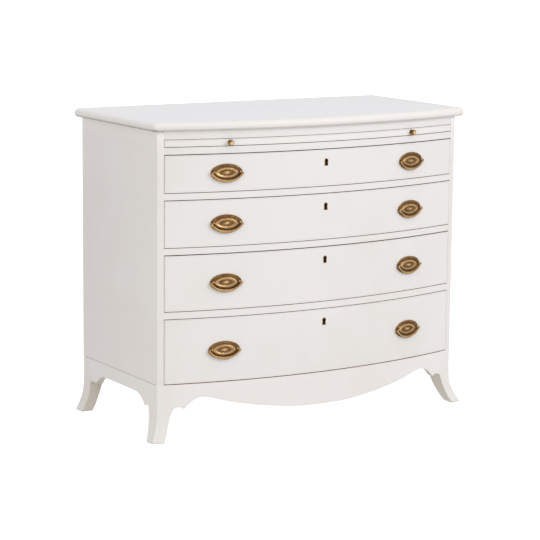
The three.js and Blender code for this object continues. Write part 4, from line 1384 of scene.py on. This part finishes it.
def plate_mesh():
    nt = 176
    t = np.linspace(0, 2 * np.pi, nt, endpoint=False)
    verts, tar = [], []
    rows = curve_through(PLATE, 2)[:-1]
    for a, b, w, mid, h, q in rows:
        x, z = oval(a, b, t, min(max(w, 0.0), 1.0))
        hh = np.full(nt, h)
        qq = np.full(nt, q)
        ang = np.arctan2(z / b, x / a)
        if 14.6 < a < 28.0:  # petals round the middle
            k = math.sin(math.pi * (a - 14.6) / 13.4)
            pet = np.abs(np.sin(8 * ang))
            hh = hh + 0.4 * k * (pet - 0.5)
            qq = qq + 0.4 * k * (0.5 - pet)
        if 7.0 < a < 9.9:  # a rope of beads round the button
            hh = hh + 0.2 * np.abs(np.sin(12 * t))
        verts += list(zip(x, -hh - 0.25 * min(1.0, max(0.0, h - 0.2) / 0.35) + x * x / (2 * BOW_R), z + mid))
        tar += list(np.clip(qq, 0, 1))
    rows = len(rows)
    faces = []
    for i in range(rows - 1):
        for j in range(nt):
            k = (j + 1) % nt
            faces.append((i * nt + j, i * nt + k, (i + 1) * nt + k, (i + 1) * nt + j))
    top = len(verts)
    verts.append((0, -4.26, 0.8))
    tar.append(0.06)
    for j in range(nt):
        faces.append(((rows - 1) * nt + j, (rows - 1) * nt + (j + 1) % nt, top))
    # the flat back, closed in strips across its width so that it follows the bow
    for j in range(nt // 2):
        q = list(dict.fromkeys([j, j + 1, nt - j - 1, (nt - j) % nt]))
        if len(q) >= 3:
            faces.append(tuple(q))
    shapes = [(np.array(verts), faces, np.array(tar))]

    p = PIVOT
    post = blended([
        [(0, 28.4), (1.9, 28.4)],
        [(1.9, 28.4), (1.9, 0.2)],
        [(1.9, 0.2), (2.5, -0.4)],
        [(2.5, -0.4), (4.3, -0.8), (4.8, -1.25), (4.4, -1.75)],
        [(4.4, -1.75), (3.0, -2.1), (2.2, -2.8), (2.05, -p + 3.4), (2.1, -p + 2.7)],
        [(2.1, -p + 2.7), (2.5, -p + 1.7), (2.85, -p + 0.7), (2.9, -p - 0.3), (2.65, -p - 1.4), (2.0, -p - 2.3), (1.0, -p - 2.85), (0, -p - 3.0)],
    ], 4)
    for s in (-1, 1):
        bv, bf = lathe(post, 26)
        h = -bv[:, 1]
        bt = np.interp(h, [-1, 0.4, 1.2, 1.8, 2.6, p - 2.6, p - 1.4, p, 12], [0.9, 0.8, 0.3, 0.8, 0.95, 0.9, 0.45, 0.12, 0.05])
        shapes.append((bv + [s * POST_X, 0, POST_Z], bf, bt))
        # a hexagonal nut and its washer behind the drawer front
        t6 = np.linspace(0, 2 * np.pi, 6, endpoint=False)
        hexa = [
            [(s * POST_X + r * math.cos(a), y, POST_Z + r * math.sin(a)) for a in t6]
            for r, y in ((4.1, 23.25), (4.5, 23.7), (4.5, 25.7), (4.0, 26.1))
        ]
        nv, nf = loft(hexa)
        shapes.append((nv, nf, np.full(len(nv), 0.4)))
        wv, wf = rod((s * POST_X, 22.55, POST_Z), (s * POST_X, 23.2, POST_Z), 5.6, 28)
        shapes.append((wv, wf, np.full(len(wv), 0.5)))
    verts, faces, _ = merge(*[(a, b) for a, b, _ in shapes])
    return verts, faces, np.concatenate([c for _, _, c in shapes])


BAIL_OUT = [(41.0, 5.0), (43.2, 3.6), (45.9, 1.2), (47.3, -0.9), (46.5, -2.9), (44.7, -5.0), (42.2, -7.4), (38.6, -10.7), (34.0, -14.5),
            (29.0, -17.7), (24.0, -20.3), (18.9, -22.3), (13.0, -24.0), (6.5, -25.1), (0, -25.5)]
BAIL_IN = [(40.2, 4.7), (39.95, 3.8), (39.9, 2.4), (39.6, 0.6), (38.7, -1.6), (37.2, -3.8), (35.2, -6.0), (32.4, -8.4), (28.8, -10.9),
           (24.9, -12.9), (20.6, -14.5), (16.2, -15.6), (11.0, -16.5), (5.4, -17.0), (0, -17.2)]


def bail_mesh():
    outer = curve_through(BAIL_OUT, 4)
    inner = curve_through(BAIL_IN, 4)
    size = np.interp(np.arange(len(outer)), [0, 1, 3, 6, 10, 16, 30, len(outer)], [0.25, 0.5, 0.72, 0.86, 0.95, 1.0, 1.0, 1.0])
    outer = np.vstack([outer, outer[-2::-1] * [-1, 1]])
    inner = np.vstack([inner, inner[-2::-1] * [-1, 1]])
    size = np.concatenate([size, size[-2::-1]])
    m = 24
    phi = np.linspace(0, 2 * np.pi, m, endpoint=False)
    cs, sn = np.cos(phi), np.sin(phi)
    u = np.sign(cs) * np.abs(cs) ** 0.9
    q = np.sign(sn) * np.abs(sn) ** 0.8
    rib = 0.3 * np.exp(-(((cs + 0.12) / 0.2) ** 2)) * (sn > 0)
    rings, tar = [], []
    for o_, i_, k in zip(outer, inner, size):
        c, w = (o_ + i_) / 2, (o_ - i_) / 2
        wide = np.hypot(*w) / 4.2
        rings.append([
            (c[0] + w[0] * a, -PIVOT - 1.95 * k * b - r * min(1.0, wide), c[1] + w[1] * a) for a, b, r in zip(u, q, rib)
        ])
        tar.append(0.78 - 0.53 * np.clip(sn, 0, 1) + 0.22 * ((cs < -0.3) & (cs > -0.62)) * (sn > 0))
    bv, bf = loft(rings)
    shapes = [(bv, bf, np.concatenate(tar))]
    for s in (-1, 1):
        pv, pf = rod((s * (POST_X - 2.0), -PIVOT, POST_Z), (s * 41.6, -PIVOT, POST_Z), 1.25, 20)
        shapes.append((pv, pf, np.full(len(pv), 0.6)))
    verts, faces, _ = merge(*[(a, b) for a, b, _ in shapes])
    return verts, faces, np.clip(np.concatenate([c for _, _, c in shapes]), 0, 1)


PLATE_MESH = plate_mesh()
BAIL_MESH = bail_mesh()


# ------------------------------------------------------------------ drawers
def yz_board(name, poly0, poly1, mats):
    """a board between two outlines of (y, z) at two x's"""
    (xa, pa), (xb, pb) = poly0, poly1
    return make(name, *between([(xa, y, z) for y, z in pa], [(xb, y, z) for y, z in pb]), mats)


def tail_edges(zb, zt, y0, y1):
    """the zigzag of the tails down a drawer side's back end, from the top, and the pins between them"""
    slope = (y1 - y0) / 7.0
    n = max(2, int(round((zt - zb) / 34.0)))
    pitch = (zt - zb) / n
    pin = 7.0  # a pin's width on the inner line
    edge, pins = [], []
    z = zt
    edge.append((y0, zt - pin / 2))
    pins.append([(y0, zt), (y1, zt), (y1, zt - pin / 2 + slope), (y0, zt - pin / 2)])
    edge.append((y1, zt - pin / 2 + slope))
    for k in range(1, n):
        c = zt - pitch * k
        edge += [(y1, c + pin / 2 - slope), (y0, c + pin / 2), (y0, c - pin / 2), (y1, c - pin / 2 + slope)]
        pins.append([(y0, c + pin / 2), (y1, c + pin / 2 - slope), (y1, c - pin / 2 + slope), (y0, c - pin / 2)])
    edge += [(y1, zb + pin / 2 - slope), (y0, zb + pin / 2)]
    pins.append([(y0, zb + pin / 2), (y1, zb + pin / 2 - slope), (y1, zb), (y0, zb)])
    return edge, pins


for i, (low, high) in enumerate(DRAWERS):
    nr = i + 1
    body = f"drawer_{nr}"
    z0, z1 = low + REVEAL, high - HEAD[i]
    key_z = high - KEY_DOWN
    yf = float(bow(0))

    # the front
    o = bowed_front(f"drawer_{nr}_front", FRONT_HALF, z0, z1, [LIP_FRONT, RAW_CUT, KEYHOLE_SHADE_TIMBER], n=84, rows=5)
    parts = [
        box(-LOCK_W / 2 - 0.3, LOCK_W / 2 + 0.3, lock_y - 0.3, 0, z1 - LOCK_H - 0.3, z1 + 10),
        keyhole_tool(key_outline(6.38, 5.57, 5.98, 20.96), yf - 5, yf + 4.3, key_z),
        keyhole_tool(key_outline(3.2, 2.0, 2.6, 14.2), yf - 5, lock_y + 5, key_z),
    ]
    tools = [make("tool", *p) for p in parts]
    for sx, hand in ((-1, "left"), (1, "right")):
        at = on_front(sx * PULL_X[hand][i], PULL_Z[i])
        for px in (-1, 1):
            rv, rf = rod((px * POST_X, -10, POST_Z), (px * POST_X, 40, POST_Z), 2.4, 16)
            tools.append(make("tool", at(rv), rf))
    # the keyhole cuts take the very dark timber, painted shade
    for k, t in enumerate(tools):
        t.data.polygons.foreach_set("material_index", np.full(len(t.data.polygons), 2 if k in (1, 2) else 1, np.int32))
    carve(o, tools)
    shade(o, 40)
    piece(o, body, "painted_wood", f"drawer_{nr}_front")

    # the box, dovetailed at the back
    b0, b1 = low - REVEAL + 0.3, high - BOX_SLACK
    in0 = BOX_HALF - BOX_T
    pz0 = b0 + BOTTOM_UP
    pz1 = pz0 + BOTTOM_PLY
    zb = pz1 + 0.3
    edge, pins = tail_edges(zb, b1 - 2.0, BOX_BACK - BOX_T, BOX_BACK)
    for sx, hand in ((-1, "left"), (1, "right")):
        def poly(x):
            y = float(bow(x, -FRONT_T - 0.3))
            return [(y, b0), (y, b1), (BOX_BACK - BOX_T, b1)] + edge + [(BOX_BACK - BOX_T, zb), (BOX_BACK, zb), (BOX_BACK, b0)]

        o = yz_board(f"drawer_{nr}_side_{hand}", (sx * in0, poly(in0)), (sx * BOX_HALF, poly(BOX_HALF)), [BOX_Y, END_GRAIN])
        assign(o, lambda c, nn: 1 if abs(nn.y) > 0.6 else 0)
        arris(o, 1.6, 3, lambda a, b: min(a.z, b.z) > b1 - 0.05 and abs(a.x - b.x) < 0.01, 60)
        t = make("tool", *box(sx * (in0 + GROOVE) if sx < 0 else -in0 - GROOVE, in0 + GROOVE if sx > 0 else in0 + GROOVE, -60, 500, pz0 - 0.3, pz1 + 0.3))
        carve(o, [t])
        shade(o, 30)
        piece(o, body, "drawer_wood", f"drawer_{nr}_box")
    shapes = [box(-in0, in0, BOX_BACK - BOX_T, BOX_BACK, zb, b1 - 2.0)]
    for sx in (-1, 1):
        for p in pins:
            pa = np.array(p)
            c = pa.mean(0)
            pa = c + (pa - c) * (1 - 0.03 / np.maximum(np.abs(pa - c).max(0), 1e-6))
            shapes.append(between([(sx * in0, y, z) for y, z in pa], [(sx * (BOX_HALF - 0.05), y, z) for y, z in pa]))
    bv, bf, _ = merge(*shapes)
    o = make(f"drawer_{nr}_back", bv, bf, [BOX_X, END_GRAIN])
    assign(o, lambda c, nn: 1 if abs(nn.x) > 0.6 else 0)
    arris(o, 1.2, 2, lambda a, b: min(a.z, b.z) > b1 - 2.05 and abs(a.y - b.y) < 0.01 and abs(a.x - b.x) > 100, 60)
    shade(o, 30)
    piece(o, body, "drawer_wood", f"drawer_{nr}_box")

    # the bottom
    bx = in0 + GROOVE - 0.3
    xs = np.linspace(-bx, bx, 61)
    outline = [(x, float(bow(x, -FRONT_T - 0.3))) for x in xs] + [(bx, BOX_BACK - 1), (-bx, BOX_BACK - 1)]
    o = make(f"drawer_{nr}_bottom", *prism(outline, pz0, pz1), [PLY])
    arris(o, 0.5, 1, None, 50)
    shade(o, 35)
    piece(o, body, "drawer_ply", f"drawer_{nr}_bottom")

    # the lock's case
    o = make(f"drawer_{nr}_lock", *box(-LOCK_W / 2, LOCK_W / 2, lock_y, lock_y + LOCK_D, z1 - LOCK_H, z1 - 0.2), [STEEL, RAW_CUT, BOLT_BRASS])
    arris(o, 0.7, 2, lambda a, b: max(a.z, b.z) < z1 - 1 or True, 60)
    tools = [
        make("tool", *box(-BOLT_W / 2 - 0.3, BOLT_W / 2 + 0.3, bolt_y - BOLT_D / 2 - 0.3, bolt_y + BOLT_D / 2 + 0.3, z1 - BOLT_H - 0.8, z1 + 5)),
        make("tool", *keyhole_tool(key_outline(2.7, 1.5, 2.1, 13.0), lock_y - 3, lock_y + 8, key_z)),
    ]
    carve(o, tools)
    assign(o, lambda c, nn: 2 if c.z > z1 - 0.6 and nn.z > 0.5 else 0)
    shade(o, 35)
    piece(o, body, "lock_steel", f"drawer_{nr}_lock")
    parts = []
    for dx in (-24, 24):
        for dz in (-9, -39):
            sv, sf = lathe([(0, -0.4), (2.6, -0.4), (2.5, 0.1), (1.7, 0.55), (0, 0.7)], 20)
            parts.append((sv + [dx, lock_y + LOCK_D + 0.02, z1 + dz], sf))
    sv, sf, _ = merge(*parts)
    o = make(f"drawer_{nr}_lock_screws", sv, sf, [SCREW])
    shade(o, 40, False)
    piece(o, body, "lock_steel")

    # its bolt
    o = make(f"drawer_{nr}_bolt", *box(-BOLT_W / 2, BOLT_W / 2, bolt_y - BOLT_D / 2, bolt_y + BOLT_D / 2, z1 - BOLT_H - 0.4, z1 - 0.4), [BOLT_BRASS])
    arris(o, 0.5, 2, None, 60)
    tarnish(o, np.full(len(o.data.vertices), 0.3))
    shade(o, 35)
    piece(o, f"drawer_{nr}_bolt", "aged_brass", f"drawer_{nr}_bolt")

    # the keyhole's lining
    ev, ef, et = escutcheon(key_z)
    o = make(f"drawer_{nr}_escutcheon", ev, ef, [BRASS])
    tarnish(o, et)
    shade(o, 40, False)
    piece(o, body, "aged_brass", f"drawer_{nr}_escutcheon")

    # the pulls
    for sx, hand in ((-1, "left"), (1, "right")):
        at = on_front(sx * PULL_X[hand][i], PULL_Z[i])
        pv, pf, pt = PLATE_MESH
        o = make(f"drawer_{nr}_plate_{hand}", at(pv), pf, [BRASS])
        tarnish(o, pt)
        shade(o, 42, False)
        piece(o, body, "aged_brass", f"drawer_{nr}_plate_{hand}")
        pv, pf, pt = BAIL_MESH
        o = make(f"drawer_{nr}_bail_{hand}", at(pv), pf, [BRASS])
        tarnish(o, pt)
        shade(o, 42, False)
        piece(o, f"drawer_{nr}_bail_{hand}", "aged_brass", f"drawer_{nr}_bail_{hand}")

# ------------------------------------------------------------------ floor, light, camera
# a lit paper floor: it shines into what lies over it, while its own light on the chest comes with the room's
me = bpy.data.meshes.new("floor")
S = 70.0
me.from_pydata([(-S, -S, 0), (S, -S, 0), (S, S, 0), (-S, S, 0)], [], [(0, 1, 2, 3)])
floor = bpy.data.objects.new("floor", me)
COLL.objects.link(floor)
floor.location = (0, 0, -0.0004)
floor.visible_diffuse = False
floor.visible_shadow = False
t = Tree("floor_paper")
t.bsdf.inputs["Base Color"].default_value = (0.35, 0.35, 0.35, 1)
t.bsdf.inputs["Roughness"].default_value = 0.95
t.bsdf.inputs["Specular IOR Level"].default_value = 0.0
t.bsdf.inputs["Emission Color"].default_value = (1.0, 1.0, 1.0, 1)
t.bsdf.inputs["Emission Strength"].default_value = 1.02
me.materials.append(t.mat)

# the room: a soft light from each direction, and the floor's light from below
ROOM = [  # axis, sign, colour at its middle
    ("Z", 1, (0.409, 0.375, 0.335)),
    ("Y", -1, (0.856, 0.827, 0.864)),
    ("Y", 1, (0.844, 0.987, 1.200)),
]
WALLS = (0.236, 0.221, 0.202)
FLOOR_LIGHT = (0.580, 0.556, 0.538)
world = bpy.data.worlds.new("studio")
bpy.context.scene.world = world
world.use_nodes = True
wt = world.node_tree
bg = wt.nodes["Background"]


def wnode(kind, **kw):
    n = wt.nodes.new(kind)
    for k, v in kw.items():
        setattr(n, k, v)
    return n


tc = wnode("ShaderNodeTexCoord")
sep = wnode("ShaderNodeSeparateXYZ")
wt.links.new(tc.outputs["Generated"], sep.inputs[0])
below = wnode("ShaderNodeMath", operation="LESS_THAN")
wt.links.new(sep.outputs["Z"], below.inputs[0])
below.inputs[1].default_value = 0.0
total = wnode("ShaderNodeMix", data_type="RGBA")
wt.links.new(below.outputs[0], total.inputs[0])
total.inputs[6].default_value = (*WALLS, 1.0)
total.inputs[7].default_value = (*FLOOR_LIGHT, 1.0)
total = total.outputs[2]
above = wnode("ShaderNodeMath", operation="GREATER_THAN")
wt.links.new(sep.outputs["Z"], above.inputs[0])
above.inputs[1].default_value = 0.0
for axis, sign, colour in ROOM:
    side_of = wnode("ShaderNodeMath", operation="MULTIPLY")
    wt.links.new(sep.outputs[axis], side_of.inputs[0])
    side_of.inputs[1].default_value = sign
    part = wnode("ShaderNodeMath", operation="MAXIMUM")
    wt.links.new(side_of.outputs[0], part.inputs[0])
    part.inputs[1].default_value = 0.0
    upper = wnode("ShaderNodeMath", operation="MULTIPLY")
    wt.links.new(part.outputs[0], upper.inputs[0])
    wt.links.new(above.outputs[0], upper.inputs[1])
    tint = wnode("ShaderNodeVectorMath", operation="SCALE")
    tint.inputs[0].default_value = colour
    wt.links.new(upper.outputs[0], tint.inputs["Scale"])
    add = wnode("ShaderNodeVectorMath", operation="ADD")
    wt.links.new(total, add.inputs[0])
    wt.links.new(tint.outputs[0], add.inputs[1])
    total = add.outputs[0]
wt.links.new(total, bg.inputs["Color"])
bg.inputs["Strength"].default_value = 1.0


def softbox(name, at, target, size, power, colour=(1, 1, 1)):
    d = bpy.data.lights.new(name, "AREA")
    d.shape = "SQUARE"
    d.size = size
    d.energy = power
    d.color = colour
    o = bpy.data.objects.new(name, d)
    COLL.objects.link(o)
    o.location = at
    o.rotation_euler = (Vector(target) - Vector(at)).to_track_quat("-Z", "Y").to_euler()
    return o


def around(azimuth, elevation, far, middle=(0, -0.05, 0.45)):
    a, e = math.radians(azimuth), math.radians(elevation)
    return (
        middle[0] + far * math.sin(a) * math.cos(e),
        middle[1] - far * math.cos(a) * math.cos(e),
        middle[2] + far * math.sin(e),
    )


softbox("key", around(24, 24, 3.2), (0, -0.05, 0.45), 1.2, 21.9, (0.87, 1.0, 1.10))
softbox("near_left", (-1.6, -1.2, 0.6), (-0.4, -0.1, 0.45), 1.0, 2.6, (0.80, 1.0, 1.0))

cam = bpy.data.cameras.new("camera")
cam.lens = 136.885
cam.sensor_width = 36.0
cam.clip_start = 0.1
cam.clip_end = 400.0
camera = bpy.data.objects.new("camera", cam)
COLL.objects.link(camera)
yaw, pitch, roll = 0.551870, 0.171856, 0.010051
fwd = Vector((math.sin(yaw) * math.cos(pitch), math.cos(yaw) * math.cos(pitch), -math.sin(pitch)))
right_v = Vector((math.cos(yaw), -math.sin(yaw), 0))
down_v = fwd.cross(right_v)
cr, sr = math.cos(roll), math.sin(roll)
r2 = cr * right_v - sr * down_v
d2 = sr * right_v + cr * down_v
rot = Matrix((r2, -d2, -fwd)).transposed()
camera.matrix_world = Matrix.Translation((-3.0410, -4.8962, 1.4019)) @ rot.to_4x4()
bpy.context.scene.camera = camera

vs = bpy.context.scene.view_settings
vs.view_transform = "Standard"
vs.look = "None"
